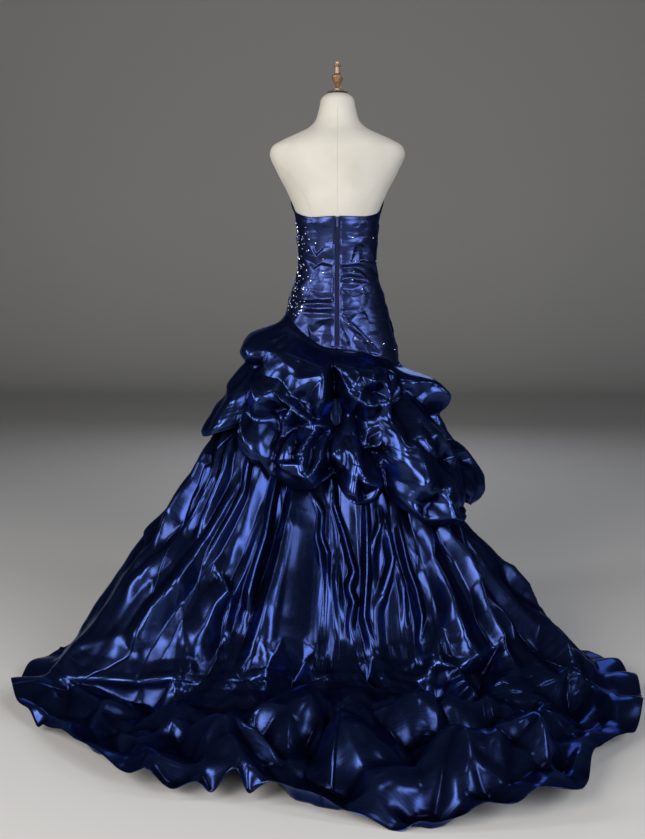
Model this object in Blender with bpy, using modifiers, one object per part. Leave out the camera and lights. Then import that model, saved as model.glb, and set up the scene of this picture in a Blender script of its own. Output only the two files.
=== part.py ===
"""A strapless taffeta prom dress with a pick-up overskirt and a train, on a limbless dress form.

The wearer's side of the form faces -Y, the zip and the train are at +Y, and +X is the wearer's left.
Angles are in degrees round the form, from the centre back, positive towards the wearer's left.
"""

import math
from collections import namedtuple

import bmesh
import bpy
import numpy as np

# Driving sizes, in metres
CLOTH = 0.002
SEAM_GAP = 0.0003
HIP_GAP = 0.0012
EASE = 0.0014
FORM_BOTTOM = 0.80
NECK_TOP = 1.561
STAND_RADIUS = 0.165
STAND_THICKNESS = 0.008
POLE_RADIUS = 0.0125

# The dress form, level by level
Level = namedtuple("Level", "height half_width back front shift")
FORM_LEVELS = [
    Level(0.800, 0.1700, 0.112, 0.096, 0.004),
    Level(0.850, 0.1660, 0.116, 0.100, 0.004),
    Level(0.910, 0.1520, 0.112, 0.100, 0.003),
    Level(0.998, 0.1285, 0.092, 0.092, 0.000),
    Level(1.100, 0.1035, 0.076, 0.080, 0.000),
    Level(1.166, 0.1075, 0.080, 0.088, 0.000),
    Level(1.224, 0.1125, 0.088, 0.098, 0.000),
    Level(1.286, 0.1350, 0.094, 0.104, 0.000),
    Level(1.348, 0.1670, 0.094, 0.090, 0.000),
    Level(1.396, 0.1855, 0.088, 0.070, 0.000),
    Level(1.415, 0.1790, 0.083, 0.058, 0.000),
    Level(1.433, 0.1500, 0.076, 0.050, -0.001),
    Level(1.450, 0.1120, 0.066, 0.046, -0.002),
    Level(1.467, 0.0780, 0.057, 0.046, -0.004),
    Level(1.488, 0.0590, 0.052, 0.046, -0.006),
    Level(1.524, 0.0490, 0.047, 0.045, -0.008),
    Level(1.543, 0.0450, 0.043, 0.042, -0.009),
    Level(1.555, 0.0330, 0.032, 0.031, -0.009),
    Level(NECK_TOP, 0.0180, 0.018, 0.018, -0.009),
]
FORM_COLUMNS = 36
FORM_ROWS_BETWEEN = {0.800: 2, 0.850: 2, 0.910: 4, 0.998: 5, 1.100: 4, 1.166: 3, 1.224: 3, 1.286: 3}
BUST_HEIGHT = 1.290
BUST_APART = 0.076
BUST_SPREAD = 0.060
BUST_DEPTH = 0.022

# The neck cap and finial as turned profiles: radius and height above the neck
Turn = namedtuple("Turn", "radius rise")
FINIAL = [
    Turn(0.0105, 0.0003),
    Turn(0.0105, 0.0049),
    Turn(0.0060, 0.0108),
    Turn(0.0070, 0.0144),
    Turn(0.0135, 0.0261),
    Turn(0.0163, 0.0351),
    Turn(0.0155, 0.0405),
    Turn(0.0085, 0.0463),
    Turn(0.0072, 0.0630),
    Turn(0.0105, 0.0662),
    Turn(0.0102, 0.0688),
    Turn(0.0068, 0.0711),
    Turn(0.0072, 0.0765),
    Turn(0.0050, 0.0814),
]
CAP = [Turn(0.0290, 0.0003), Turn(0.0300, 0.0020), Turn(0.0250, 0.0048)]
TURNED_STEPS = 16

# Lines round the garment: angle and height
Mark = namedtuple("Mark", "angle height")
TOP_EDGE = [
    Mark(-180, 1.324), Mark(-150, 1.342), Mark(-120, 1.295), Mark(-90, 1.249), Mark(-65, 1.232),
    Mark(-35, 1.225), Mark(0, 1.226), Mark(35, 1.223), Mark(65, 1.232), Mark(90, 1.249),
    Mark(120, 1.295), Mark(150, 1.342), Mark(180, 1.324),
]
HIP_SEAM = [
    Mark(-180, 0.905), Mark(-140, 0.870), Mark(-105, 0.828), Mark(-75, 0.818), Mark(-45, 0.840),
    Mark(-15, 0.864), Mark(10, 0.872), Mark(40, 0.915), Mark(70, 0.955), Mark(110, 0.955),
    Mark(145, 0.930), Mark(180, 0.905),
]

# The bodice
SIDE_SEAM = 88.0
ZIP_HALF_WIDTH = 0.005
BACK_COLUMNS = 9
BACK_ROWS = 22
FRONT_COLUMNS = 22
FRONT_ROWS = 16
FRONT_EASE = 0.0025
RUCHE_SPACING = 0.034
RUCHE_DEPTH = 0.0035
RUCHE_TOP = 1.13
RUCHE_FADE = 0.05

# The long skirt: where it meets the floor, where its hem lies, and how hollow its fall is
Reach = namedtuple("Reach", "angle floor hem hollow")
SKIRT_REACH = [
    Reach(-180, 0.415, 0.440, 0.40), Reach(-140, 0.440, 0.470, 0.50), Reach(-110, 0.500, 0.560, 0.62),
    Reach(-85, 0.600, 0.690, 0.75), Reach(-60, 0.720, 0.880, 0.75), Reach(-44, 0.660, 1.010, 0.60),
    Reach(-33, 0.560, 1.060, 0.45), Reach(-22, 0.500, 1.225, 0.35), Reach(-10, 0.465, 1.215, 0.30),
    Reach(0, 0.455, 1.150, 0.30), Reach(10, 0.465, 1.090, 0.30), Reach(20, 0.500, 1.110, 0.30),
    Reach(32, 0.570, 1.050, 0.30), Reach(44, 0.680, 0.990, 0.22), Reach(57, 0.790, 0.965, 0.08),
    Reach(75, 0.770, 0.850, 0.10), Reach(95, 0.620, 0.680, 0.24), Reach(120, 0.500, 0.550, 0.34),
    Reach(150, 0.430, 0.460, 0.40), Reach(180, 0.415, 0.440, 0.40),
]
# One row for each fold of the long skirt: its crest's angle at the hip and at the hem, and its depth
Fold = namedtuple("Fold", "hip hem depth")
SKIRT_FOLDS = [
    Fold(-168, -169, 0.036), Fold(-144, -145, 0.040), Fold(-122, -123, 0.040),
    Fold(-105, -106, 0.040), Fold(-92, -93, 0.038), Fold(-80, -81, 0.044), Fold(-70, -69, 0.040),
    Fold(-60, -58, 0.046), Fold(-51, -48, 0.038), Fold(-42, -38, 0.052), Fold(-33, -29, 0.044),
    Fold(-24, -21, 0.040), Fold(-15, -13, 0.048), Fold(-6, -5, 0.040), Fold(4, 4, 0.046),
    Fold(13, 12, 0.038), Fold(22, 21, 0.048), Fold(31, 30, 0.040), Fold(40, 39, 0.052),
    Fold(50, 49, 0.040), Fold(61, 60, 0.050), Fold(73, 72, 0.042), Fold(86, 86, 0.040),
    Fold(101, 101, 0.038), Fold(121, 121, 0.040), Fold(144, 144, 0.040), Fold(168, 168, 0.036),
]
DEEPEST_FOLD = max(fold.depth for fold in SKIRT_FOLDS)
SKIRT_ROWS = 13
SKIRT_TOP_ROWS = (0.0, 0.02, 0.045)
CREST_POWER = 0.85
FLOOR_BEND = 0.11
# Which valleys between folds are the skirt's seams, counted from the first fold
SKIRT_SEAMS = {"skirt_front": (23.5, 29.5), "skirt_side_right": (2.5, 7.5), "skirt_back_right": (7.5, 13.5),
               "skirt_back_left": (13.5, 19.5), "skirt_side_left": (19.5, 23.5)}
# One row for each heap that the train makes on the floor: where, how long, how wide, how high, and its turn
Heap = namedtuple("Heap", "across behind half_length half_width height turn")
TRAIN_HEAPS = [
    Heap(-0.34, 0.96, 0.26, 0.115, 0.105, 48),
    Heap(-0.22, 0.74, 0.19, 0.085, 0.085, 60),
    Heap(-0.52, 0.68, 0.17, 0.075, 0.065, 35),
    Heap(-0.05, 0.90, 0.17, 0.100, 0.110, -20),
    Heap(0.10, 0.74, 0.16, 0.085, 0.085, 30),
    Heap(0.22, 0.92, 0.20, 0.085, 0.090, -35),
    Heap(0.38, 0.72, 0.17, 0.080, 0.075, -55),
    Heap(0.60, 0.55, 0.17, 0.070, 0.060, -70),
    Heap(-0.10, 1.08, 0.14, 0.060, 0.070, 80),
    Heap(-0.02, 0.60, 0.12, 0.070, 0.055, 10),
]
HEM_WAVE = 0.022

# One row for each puff that a pick-up makes in the overskirt
Puff = namedtuple("Puff", "angle height half_angle half_height bulge")
PUFFS = [
    Puff(27, 0.788, 29, 0.120, 0.080), Puff(62, 0.885, 26, 0.062, 0.070), Puff(-22, 0.788, 24, 0.105, 0.064),
    Puff(17, 0.613, 21, 0.100, 0.052), Puff(-13, 0.593, 15, 0.120, 0.046), Puff(-46, 0.600, 25, 0.190, 0.082),
    Puff(-72, 0.765, 25, 0.085, 0.078), Puff(-83, 0.565, 25, 0.140, 0.078), Puff(68, 0.748, 26, 0.115, 0.040),
    Puff(33, 0.655, 15, 0.085, 0.044), Puff(-97, 0.703, 22, 0.085, 0.052), Puff(101, 0.813, 26, 0.110, 0.042),
    Puff(94, 0.700, 22, 0.080, 0.030), Puff(118, 0.648, 24, 0.090, 0.050), Puff(140, 0.803, 25, 0.100, 0.054),
    Puff(151, 0.618, 24, 0.095, 0.050), Puff(178, 0.778, 26, 0.105, 0.054), Puff(-174, 0.588, 25, 0.100, 0.050),
    Puff(-145, 0.748, 26, 0.105, 0.054), Puff(-142, 0.558, 24, 0.105, 0.050), Puff(-120, 0.693, 22, 0.100, 0.050),
    Puff(-112, 0.533, 22, 0.105, 0.052),
]
OVERSKIRT_ROWS = 11
OVERSKIRT_BACK_STEP = 4.5
OVERSKIRT_FRONT_STEP = 7.5
OVERSKIRT_SIDE = 90.0
OVERSKIRT_GAP = 0.0014
OVERSKIRT_CLEAR = 0.006
PUFF_POWER = 0.62

# The zip
ZIP_FOOT = 0.876
ZIP_THICKNESS = 0.0016
ZIP_ROWS = 12
SLIDER_WIDTH = 0.0080
SLIDER_HEIGHT = 0.0110
SLIDER_THICKNESS = 0.0022
SLIDER_BELOW_EDGE = 0.004
EAR_WIDTH = 0.0012
EAR_HEIGHT = 0.0040
EAR_REACH = 0.0034
PIN_RADIUS = 0.0006
EYE_RADIUS = 0.0009
PULL_WIDTH = 0.0050
PULL_LENGTH = 0.0200
PULL_THICKNESS = 0.0012
PULL_TIP_WIDTH = 0.0070

TAFFETA = ("royal_blue_taffeta", (0.012, 0.024, 0.150, 1.0), 0.30, 0.35)
LINEN = ("form_linen", (0.700, 0.660, 0.590, 1.0), 0.85, 0.0)
WALNUT = ("turned_walnut", (0.130, 0.075, 0.035, 1.0), 0.40, 0.0)
STEEL = ("painted_steel", (0.030, 0.030, 0.032, 1.0), 0.45, 0.0)
COIL = ("zip_nylon", (0.010, 0.014, 0.060, 1.0), 0.45, 0.0)
SLIDER_METAL = ("slider_enamel", (0.020, 0.028, 0.110, 1.0), 0.30, 0.80)


# Curves and sections


def through(places, values, at):
    """A smooth curve through a table's points that doesn't overshoot them."""
    places, values, at = (np.asarray(v, float) for v in (places, values, at))
    steps = np.diff(places)
    rises = np.diff(values) / steps
    slopes = np.zeros_like(values)
    same_way = rises[:-1] * rises[1:] > 0
    before, after = rises[:-1][same_way], rises[1:][same_way]
    slopes[1:-1][same_way] = 2 * before * after / (before + after)
    i = np.clip(np.searchsorted(places, at, side="right") - 1, 0, len(steps) - 1)
    u = np.clip((at - places[i]) / steps[i], 0, 1)
    return (
        values[i] * (1 + 2 * u) * (1 - u) ** 2
        + values[i + 1] * u**2 * (3 - 2 * u)
        + steps[i] * (slopes[i] * u * (1 - u) ** 2 - slopes[i + 1] * u**2 * (1 - u))
    )


def around(rows, column, angle):
    """A table's column at an angle, smooth all the way round."""
    angle = (np.asarray(angle, float) + 180) % 360 - 180
    places = np.array([row.angle for row in rows], float)
    values = np.array([getattr(row, column) for row in rows], float)
    places = np.concatenate([places[:-1] - 360, places, places[1:] + 360])
    values = np.concatenate([values[:-1], values, values[1:]])
    return through(places, values, angle)


def ease_in(value, start, end):
    """0 before start, 1 after end, and smooth between them."""
    u = np.clip((value - start) / (end - start), 0, 1)
    return u * u * (3 - 2 * u)


def form_size(column, height):
    """The form's half width, back, front or shift at a height."""
    return through([r.height for r in FORM_LEVELS], [getattr(r, column) for r in FORM_LEVELS], height)


def form_point(angle, height, out=0.0):
    """A point on the form, or out from it by that distance."""
    angle, height = np.broadcast_arrays(np.radians(angle), np.asarray(height, float))
    across, behind = np.sin(angle), np.cos(angle)
    width = form_size("half_width", height)
    depth = np.where(behind > 0, form_size("back", height), form_size("front", height))
    lean_x, lean_y = across / width, behind / depth
    steep = np.hypot(lean_x, lean_y)
    x = width * across + out * lean_x / steep
    y = form_size("shift", height) + depth * behind + out * lean_y / steep
    bust = sum(
        np.exp(-(((x - side * BUST_APART) / BUST_SPREAD) ** 2) - ((height - BUST_HEIGHT) / BUST_SPREAD) ** 2)
        for side in (-1, 1)
    )
    y = y - BUST_DEPTH * bust * np.clip(-behind, 0, 1)
    return np.stack([x, y, height], axis=-1)


def sideways(angle):
    """The level direction out from the form's axis."""
    angle = np.radians(angle)
    return np.stack([np.sin(angle), np.cos(angle), np.zeros_like(angle)], axis=-1)


# Cloth surfaces


def skirt_fall(angle, down):
    """The long skirt's plain fall from the hip seam, at 0, to the floor, at 1, with no folds."""
    seam = around(HIP_SEAM, "height", angle)
    hip = form_point(angle, seam, EASE + CLOTH)
    floor = sideways(angle) * around(SKIRT_REACH, "floor", angle)[..., None]
    hollow = around(SKIRT_REACH, "hollow", angle)
    out = ((1 - hollow) * down + hollow * down**2)[..., None]
    point = hip + (floor - hip) * out
    point[..., 2] = seam * (1 - down)
    return point


def skirt_plain(angle, length):
    """A point of the long skirt without folds. Length runs from 0, at the hip seam, to 1, at the hem."""
    floor = around(SKIRT_REACH, "floor", angle)
    train = around(SKIRT_REACH, "hem", angle) - floor
    seam = around(HIP_SEAM, "height", angle)
    drop = np.hypot(seam, floor - np.linalg.norm(form_point(angle, seam)[..., :2], axis=-1))
    whole = drop + train

    def sharp(run):
        hanging = skirt_fall(angle, np.clip(run / drop, 0, 1))
        return hanging + sideways(angle) * np.clip(run - drop, 0, None)[..., None]

    run = length * whole
    bend = np.minimum(np.minimum(run, whole - run), FLOOR_BEND)
    return (sharp(run - bend) + 2 * sharp(run) + sharp(run + bend)) / 4


def fold_depth_share(length, drop_share):
    """How much of its depth a fold has, down the hanging cloth and out along the train."""
    hanging = ease_in(length / drop_share, 0.0, 0.95)
    lying = 1 - 0.55 * ease_in(length, drop_share, 1.0)
    return hanging * lying


def heaps(x, y):
    """The height of the train's heaps at a place on the floor."""
    height = np.zeros_like(x)
    for heap in TRAIN_HEAPS:
        turn = math.radians(heap.turn)
        along = (x - heap.across) * math.sin(turn) + (y - heap.behind) * math.cos(turn)
        beside = (x - heap.across) * math.cos(turn) - (y - heap.behind) * math.sin(turn)
        inside = np.clip(1 - (along / heap.half_length) ** 2 - (beside / heap.half_width) ** 2, 0, None)
        height = np.maximum(height, heap.height * inside**0.8)
    return height


def skirt_angle(fold, length):
    """The angle of a fold's line at a length down the skirt. Folds count from 0 and go round."""
    turns, fold = np.divmod(fold, len(SKIRT_FOLDS))
    places = np.arange(len(SKIRT_FOLDS) + 1)
    hip = [f.hip for f in SKIRT_FOLDS] + [SKIRT_FOLDS[0].hip + 360]
    hem = [f.hem for f in SKIRT_FOLDS] + [SKIRT_FOLDS[0].hem + 360]
    return np.interp(fold, places, hip) * (1 - length) + np.interp(fold, places, hem) * length + 360 * turns


def skirt_point(fold, length):
    """A point of the long skirt. A whole number of fold is a crest, and halfway between is a valley."""
    angle = skirt_angle(fold, length)
    small = 0.5
    plain = skirt_plain(angle, length)
    round_it = skirt_plain(angle + small, length) - skirt_plain(angle - small, length)
    down_it = skirt_plain(angle, np.minimum(length + 0.01, 1)) - skirt_plain(angle, np.maximum(length - 0.01, 0))
    out = np.cross(round_it, down_it)
    out /= np.linalg.norm(out, axis=-1, keepdims=True)
    depths = [f.depth for f in SKIRT_FOLDS] + [SKIRT_FOLDS[0].depth]
    depth = np.interp(fold % len(SKIRT_FOLDS), np.arange(len(depths)), depths)
    crest = (0.5 + 0.5 * np.cos(2 * np.pi * fold)) ** CREST_POWER
    drop_share = skirt_drop_share(angle)
    point = plain + out * (depth * crest * fold_depth_share(length, drop_share))[..., None]
    on_floor = ease_in(length, drop_share, drop_share + 0.12)
    hem_share = ease_in(length, 0.90, 1.0)
    point[..., 2] += on_floor * heaps(plain[..., 0], plain[..., 1]) * (1 - 0.6 * hem_share)
    point[..., 2] += on_floor * hem_share * HEM_WAVE * crest
    point[..., 2] = np.maximum(point[..., 2], CLOTH)
    return point


def skirt_drop_share(angle):
    """The share of the skirt's length that hangs clear of the floor."""
    floor = around(SKIRT_REACH, "floor", angle)
    seam = around(HIP_SEAM, "height", angle)
    drop = np.hypot(seam, floor - np.linalg.norm(form_point(angle, seam)[..., :2], axis=-1))
    return drop / (drop + around(SKIRT_REACH, "hem", angle) - floor)


def puff_out(angle, height):
    """How far the overskirt's puffs stand out: the fullest puff at each place, so that they meet in creases."""
    out = np.zeros(np.broadcast(angle, height).shape)
    for puff in PUFFS:
        beside = ((angle - puff.angle + 180) % 360 - 180) / puff.half_angle
        level = (height - puff.height) / puff.half_height
        inside = np.clip(1 - beside**2 - level**2, 0, None)
        out = np.maximum(out, puff.bulge * inside**PUFF_POWER * (1 - 0.25 * level))
    return out


def overskirt_foot(angle):
    """The scalloped lower edge of the overskirt, under its lowest puffs."""
    lowest = np.full(np.shape(angle), 9.0)
    for puff in PUFFS:
        beside = ((angle - puff.angle + 180) % 360 - 180) / puff.half_angle
        inside = np.clip(1 - beside**2, 0, None)
        bottom = puff.height - puff.half_height * np.sqrt(inside)
        lowest = np.where(inside > 0, np.minimum(lowest, bottom), lowest)
    return lowest


def overskirt_point(angle, down):
    """A point of the overskirt, from its seam at the hip, at 0, to its tucked lower edge, at 1."""
    seam = around(HIP_SEAM, "height", angle)
    height = seam + (overskirt_foot(angle) - seam) * down
    fallen = 1 - height / seam
    drop_share = skirt_drop_share(angle)
    fall = skirt_fall(angle, fallen)
    further = skirt_fall(angle, fallen + 0.01)
    lean = np.linalg.norm(further - fall, axis=-1) / (fall[..., 2] - further[..., 2])
    over_folds = OVERSKIRT_CLEAR * ease_in(fallen, 0.0, 0.05)
    over_folds += DEEPEST_FOLD * fold_depth_share(fallen * drop_share, drop_share)
    room = OVERSKIRT_GAP + CLOTH + over_folds * lean
    puffed = puff_out(angle, height) * ease_in(fallen, 0.0, 0.05)
    point = fall + sideways(angle) * (room + puffed)[..., None]
    point[..., 2] = height - SEAM_GAP
    return point


def ruching(angle, height):
    """The raised gathers of the bodice's back, level on the left and fanning down to the right of the zip."""
    x = form_point(angle, height)[..., 0]
    fan = np.clip((RUCHE_TOP - height) / 0.2, 0, 1)
    line = height + np.where(x < 0, 1.3 * fan, 0.12) * np.abs(x)
    wave = (0.5 + 0.5 * np.cos(2 * np.pi * line / RUCHE_SPACING)) ** 1.3
    seam = around(HIP_SEAM, "height", angle)
    shown = ease_in(height, seam, seam + RUCHE_FADE) * (1 - 0.8 * ease_in(height, RUCHE_TOP - 0.03, RUCHE_TOP + 0.03))
    return RUCHE_DEPTH * wave * shown * np.clip(np.cos(np.radians(angle)), 0, 1) ** 0.5


# Building solids


def material(look):
    """A Principled material from a name, colour, roughness and metallic value."""
    name, colour, roughness, metallic = look
    made = bpy.data.materials.get(name) or bpy.data.materials.new(name)
    made.use_nodes = True
    shader = made.node_tree.nodes["Principled BSDF"]
    shader.inputs["Base Color"].default_value = colour
    shader.inputs["Roughness"].default_value = roughness
    shader.inputs["Metallic"].default_value = metallic
    return made


def put(name, mesh, look, collection):
    """A mesh as a named object with its material, shaded smooth."""
    made = bpy.data.objects.new(name, mesh)
    collection.objects.link(made)
    mesh.materials.append(material(look))
    mesh.shade_smooth()
    mesh.set_sharp_from_angle(angle=math.radians(50))
    return made


def triangles_between(rows, columns, start, closed, flip):
    """Two triangles for each cell of a grid of points, all cut along the same diagonal."""
    made = []
    for row in range(rows - 1):
        for column in range(columns if closed else columns - 1):
            a = start + row * columns + column
            b = start + row * columns + (column + 1) % columns
            c, d = b + columns, a + columns
            pair = [(a, b, c), (a, c, d)]
            made += [tri[::-1] for tri in pair] if flip else pair
    return made


def wall_mesh(name, outer, inner):
    """A closed cloth wall between two grids of points, rows by columns, open at its sides."""
    rows, columns = outer.shape[:2]
    points = np.concatenate([outer.reshape(-1, 3), inner.reshape(-1, 3)])
    far = rows * columns
    faces = triangles_between(rows, columns, 0, False, False)
    faces += triangles_between(rows, columns, far, False, True)
    grid = np.arange(far).reshape(rows, columns)
    rim = np.concatenate([grid[0], grid[1:, -1], grid[-1, -2::-1], grid[-2:0:-1, 0]])
    for a, b in zip(rim, np.roll(rim, -1)):
        faces += [(a, a + far, b + far), (a, b + far, b)]
    mesh = bpy.data.meshes.new(name)
    mesh.from_pydata(points.tolist(), [], [tuple(int(i) for i in face) for face in faces])
    shell = bmesh.new()
    shell.from_mesh(mesh)
    bmesh.ops.recalc_face_normals(shell, faces=shell.faces)
    shell.to_mesh(mesh)
    shell.free()
    return mesh


def grid_normals(points, closed):
    """The outward direction at each point of a grid, from its neighbours."""
    if closed:
        beside = np.roll(points, -1, axis=1) - np.roll(points, 1, axis=1)
    else:
        beside = np.gradient(points, axis=1)
    normals = np.cross(np.gradient(points, axis=0), beside)
    normals /= np.linalg.norm(normals, axis=-1, keepdims=True)
    outside = np.sum(normals[0] * (points[0] - points[0].mean(axis=0)))
    return normals if outside > 0 else -normals


def level_round(points):
    """The level direction round the form's axis, towards the wearer's left at the centre back."""
    round_it = np.stack([points[..., 1], -points[..., 0], np.zeros(points.shape[:-1])], axis=-1)
    return round_it / np.linalg.norm(round_it, axis=-1, keepdims=True)


def panel(outer, inner, first, last):
    """The columns of a garment from one seam to the next, cut square through the cloth at both seams."""
    columns = np.arange(first, last + 1) % outer.shape[1]
    outer, inner = outer[:, columns].copy(), inner[:, columns].copy()
    for side, sign in ((0, 1), (-1, -1)):
        outer[:, side], inner[:, side] = seam_edge(outer[:, side], inner[:, side], sign)
    return outer, inner


def seam_edge(outer, inner, sign):
    """A seam's two edges, with the cut in line with the seam and drawn back by half the gap."""
    round_it = level_round(outer)
    through_it = inner - outer
    through_it -= np.sum(through_it * round_it, axis=-1, keepdims=True) * round_it
    through_it *= CLOTH / np.linalg.norm(through_it, axis=-1, keepdims=True)
    edge = outer + sign * round_it * SEAM_GAP / 2
    return edge, edge + through_it


def make_skirt(collection):
    """The long skirt and train, cut in five panels that meet in valleys between folds."""
    folds = np.arange(0, len(SKIRT_FOLDS), 0.25)
    rows = np.concatenate([SKIRT_TOP_ROWS, np.linspace(SKIRT_TOP_ROWS[-1], 1, SKIRT_ROWS + 1)[1:]])
    outer = skirt_point(folds[None, :], rows[:, None])
    inner = outer - CLOTH * grid_normals(outer, closed=True)
    for name, (first, last) in SKIRT_SEAMS.items():
        pair = panel(outer, inner, round(first * 4), round(last * 4))
        put(name, wall_mesh(name, *pair), TAFFETA, collection)


def make_overskirt(collection):
    """The overskirt, cut in two back panels and a front that meet at the centre back and the sides."""
    back = np.arange(0, OVERSKIRT_SIDE, OVERSKIRT_BACK_STEP)
    front = np.arange(OVERSKIRT_SIDE, 360 - OVERSKIRT_SIDE, OVERSKIRT_FRONT_STEP)
    angles = np.concatenate([back, front, [360 - OVERSKIRT_SIDE], 360 - back[:0:-1]])
    rows = np.linspace(0, 1, OVERSKIRT_ROWS + 1)
    outer = overskirt_point(angles[None, :], rows[:, None])
    inner = outer - CLOTH * grid_normals(outer, closed=True)
    side = int(np.argmin(abs(angles - OVERSKIRT_SIDE)))
    other = int(np.argmin(abs(angles - (360 - OVERSKIRT_SIDE))))
    seams = {
        "overskirt_back_left": (0, side),
        "overskirt_front": (side, other),
        "overskirt_back_right": (other, len(angles)),
    }
    for name, (first, last) in seams.items():
        pair = panel(outer, inner, first, last)
        put(name, wall_mesh(name, *pair), TAFFETA, collection)


def bodice_heights(angle, rows):
    """Heights from the bodice's top edge down to its hip seam."""
    top = around(TOP_EDGE, "height", angle)
    seam = around(HIP_SEAM, "height", angle) + HIP_GAP
    return top + (seam - top) * rows


def make_bodice(collection):
    """The bodice: a front, and two ruched back panels that leave a slot for the zip."""
    rows = np.linspace(0, 1, BACK_ROWS + 1)[:, None]
    share = np.linspace(0, 1, BACK_COLUMNS + 1)[None, :]
    for name, side in (("bodice_back_left", 1), ("bodice_back_right", -1)):
        height = bodice_heights(side * share * SIDE_SEAM, rows)
        slot = np.degrees(np.arcsin((ZIP_HALF_WIDTH + SEAM_GAP) / form_size("half_width", height)))
        angle = side * (slot + (SIDE_SEAM - slot) * share)
        height = bodice_heights(angle, rows)
        inner = form_point(angle, height, EASE)
        outer = form_point(angle, height, EASE + CLOTH)
        relief = ruching(angle, height)
        relief[:, 0] *= 0.3
        outer += relief[..., None] * sideways(angle)
        outer[:, -1], inner[:, -1] = seam_edge(outer[:, -1], inner[:, -1], -side)
        put(name, wall_mesh(name, outer, inner), TAFFETA, collection)
    angle = np.linspace(SIDE_SEAM, 360 - SIDE_SEAM, FRONT_COLUMNS + 1)[None, :]
    height = bodice_heights(angle, np.linspace(0, 1, FRONT_ROWS + 1)[:, None])
    ease = EASE + (FRONT_EASE - EASE) * np.clip(-np.cos(np.radians(angle)) * 4, 0, 1)
    inner = form_point(angle, height, ease)
    outer = form_point(angle, height, ease + CLOTH)
    put("bodice_front", wall_mesh("bodice_front", *panel(outer, inner, 0, FRONT_COLUMNS)), TAFFETA, collection)


def make_zip_strip(collection):
    """The zip's closed teeth and tape, in the slot between the back panels."""
    heights = np.linspace(float(around(TOP_EDGE, "height", 0)) - 0.002, ZIP_FOOT, ZIP_ROWS + 1)[:, None]
    x = np.array([-1.0, 0.0, 1.0])[None, :] * ZIP_HALF_WIDTH
    angle = np.degrees(np.arcsin(x / form_size("half_width", heights)))
    heights = np.broadcast_to(heights, angle.shape)
    inner = form_point(angle, heights, EASE)
    outer = form_point(angle, heights, EASE + ZIP_THICKNESS)
    put("zip_strip", wall_mesh("zip_strip", outer, inner), COIL, collection)


def make_form(collection):
    """The limbless form, smooth and whole, closed at the neck and at the hips."""
    heights = []
    for low, high in zip(FORM_LEVELS[:-1], FORM_LEVELS[1:]):
        parts = FORM_ROWS_BETWEEN.get(low.height, 1)
        heights += list(np.linspace(low.height, high.height, parts, endpoint=False))
    heights.append(FORM_LEVELS[-1].height)
    angles = np.linspace(0, 360, FORM_COLUMNS, endpoint=False)
    grid = form_point(angles[None, :], np.array(heights)[:, None])
    rows, columns = grid.shape[:2]
    points = grid.reshape(-1, 3).tolist()
    faces = triangles_between(rows, columns, 0, True, False)
    for row in (0, rows - 1):
        centre = len(points)
        points.append(grid[row].mean(axis=0).tolist())
        for column in range(columns):
            faces.append((row * columns + column, row * columns + (column + 1) % columns, centre))
    mesh = bpy.data.meshes.new("form_torso")
    mesh.from_pydata(points, [], faces)
    shell = bmesh.new()
    shell.from_mesh(mesh)
    bmesh.ops.recalc_face_normals(shell, faces=shell.faces)
    shell.to_mesh(mesh)
    shell.free()
    put("form_torso", mesh, LINEN, collection)


def make_turned(name, profile, foot, look, collection):
    """A turned piece: a profile from the axis and back to it, spun by a Screw modifier."""
    outline = [(0.0, profile[-1].rise)] + [(t.radius, t.rise) for t in profile[::-1]] + [(0.0, profile[0].rise)]
    mesh = bpy.data.meshes.new(name)
    mesh.from_pydata(
        [(radius, 0.0, rise) for radius, rise in outline], [(i, i + 1) for i in range(len(outline) - 1)], []
    )
    made = bpy.data.objects.new(name, mesh)
    made.location = foot
    collection.objects.link(made)
    mesh.materials.append(material(look))
    spin = made.modifiers.new("spin", "SCREW")
    spin.steps = spin.render_steps = TURNED_STEPS
    spin.use_merge_vertices = True
    spin.merge_threshold = 0.00001
    spin.use_smooth_shade = True
    return made


def make_stand(collection):
    """The pole and round foot under the form, the neck cap and the finial."""
    neck = tuple(float(v) for v in (0.0, form_size("shift", NECK_TOP), NECK_TOP))
    make_turned("form_neck_cap", CAP, neck, WALNUT, collection)
    on_cap = (neck[0], neck[1], neck[2] + CAP[-1].rise)
    make_turned("form_finial", FINIAL, on_cap, WALNUT, collection)
    foot = [
        Turn(STAND_RADIUS - 0.002, 0.0),
        Turn(STAND_RADIUS, 0.002),
        Turn(STAND_RADIUS, STAND_THICKNESS - 0.003),
        Turn(STAND_RADIUS - 0.006, STAND_THICKNESS),
        Turn(0.026, STAND_THICKNESS + 0.001),
        Turn(0.024, STAND_THICKNESS + 0.012),
    ]
    made = make_turned("stand_foot", foot, (0.0, 0.0, 0.0), STEEL, collection)
    made.modifiers["spin"].steps = made.modifiers["spin"].render_steps = 2 * TURNED_STEPS
    low = foot[-1].rise + SEAM_GAP
    pole = [Turn(POLE_RADIUS, low), Turn(POLE_RADIUS, FORM_BOTTOM - SEAM_GAP)]
    make_turned("stand_pole", pole, (0.0, 0.0, 0.0), STEEL, collection)


def box_mesh(size, centre):
    """A box as a bmesh, from its size and centre."""
    shape = bmesh.new()
    bmesh.ops.create_cube(shape, size=1.0)
    bmesh.ops.scale(shape, vec=size, verts=shape.verts)
    bmesh.ops.translate(shape, vec=centre, verts=shape.verts)
    return shape


def rod_mesh(radius, length, centre, sides):
    """A rod along X as a bmesh."""
    shape = bmesh.new()
    bmesh.ops.create_cone(
        shape, cap_ends=True, segments=sides, radius1=radius, radius2=radius, depth=length
    )
    quarter = ((0.0, 0.0, 1.0), (0.0, 1.0, 0.0), (-1.0, 0.0, 0.0))
    for vert in shape.verts:
        x, y, z = vert.co
        vert.co = [row[0] * x + row[1] * y + row[2] * z for row in quarter]
    bmesh.ops.translate(shape, vec=centre, verts=shape.verts)
    bmesh.ops.recalc_face_normals(shape, faces=shape.faces)
    return shape


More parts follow.
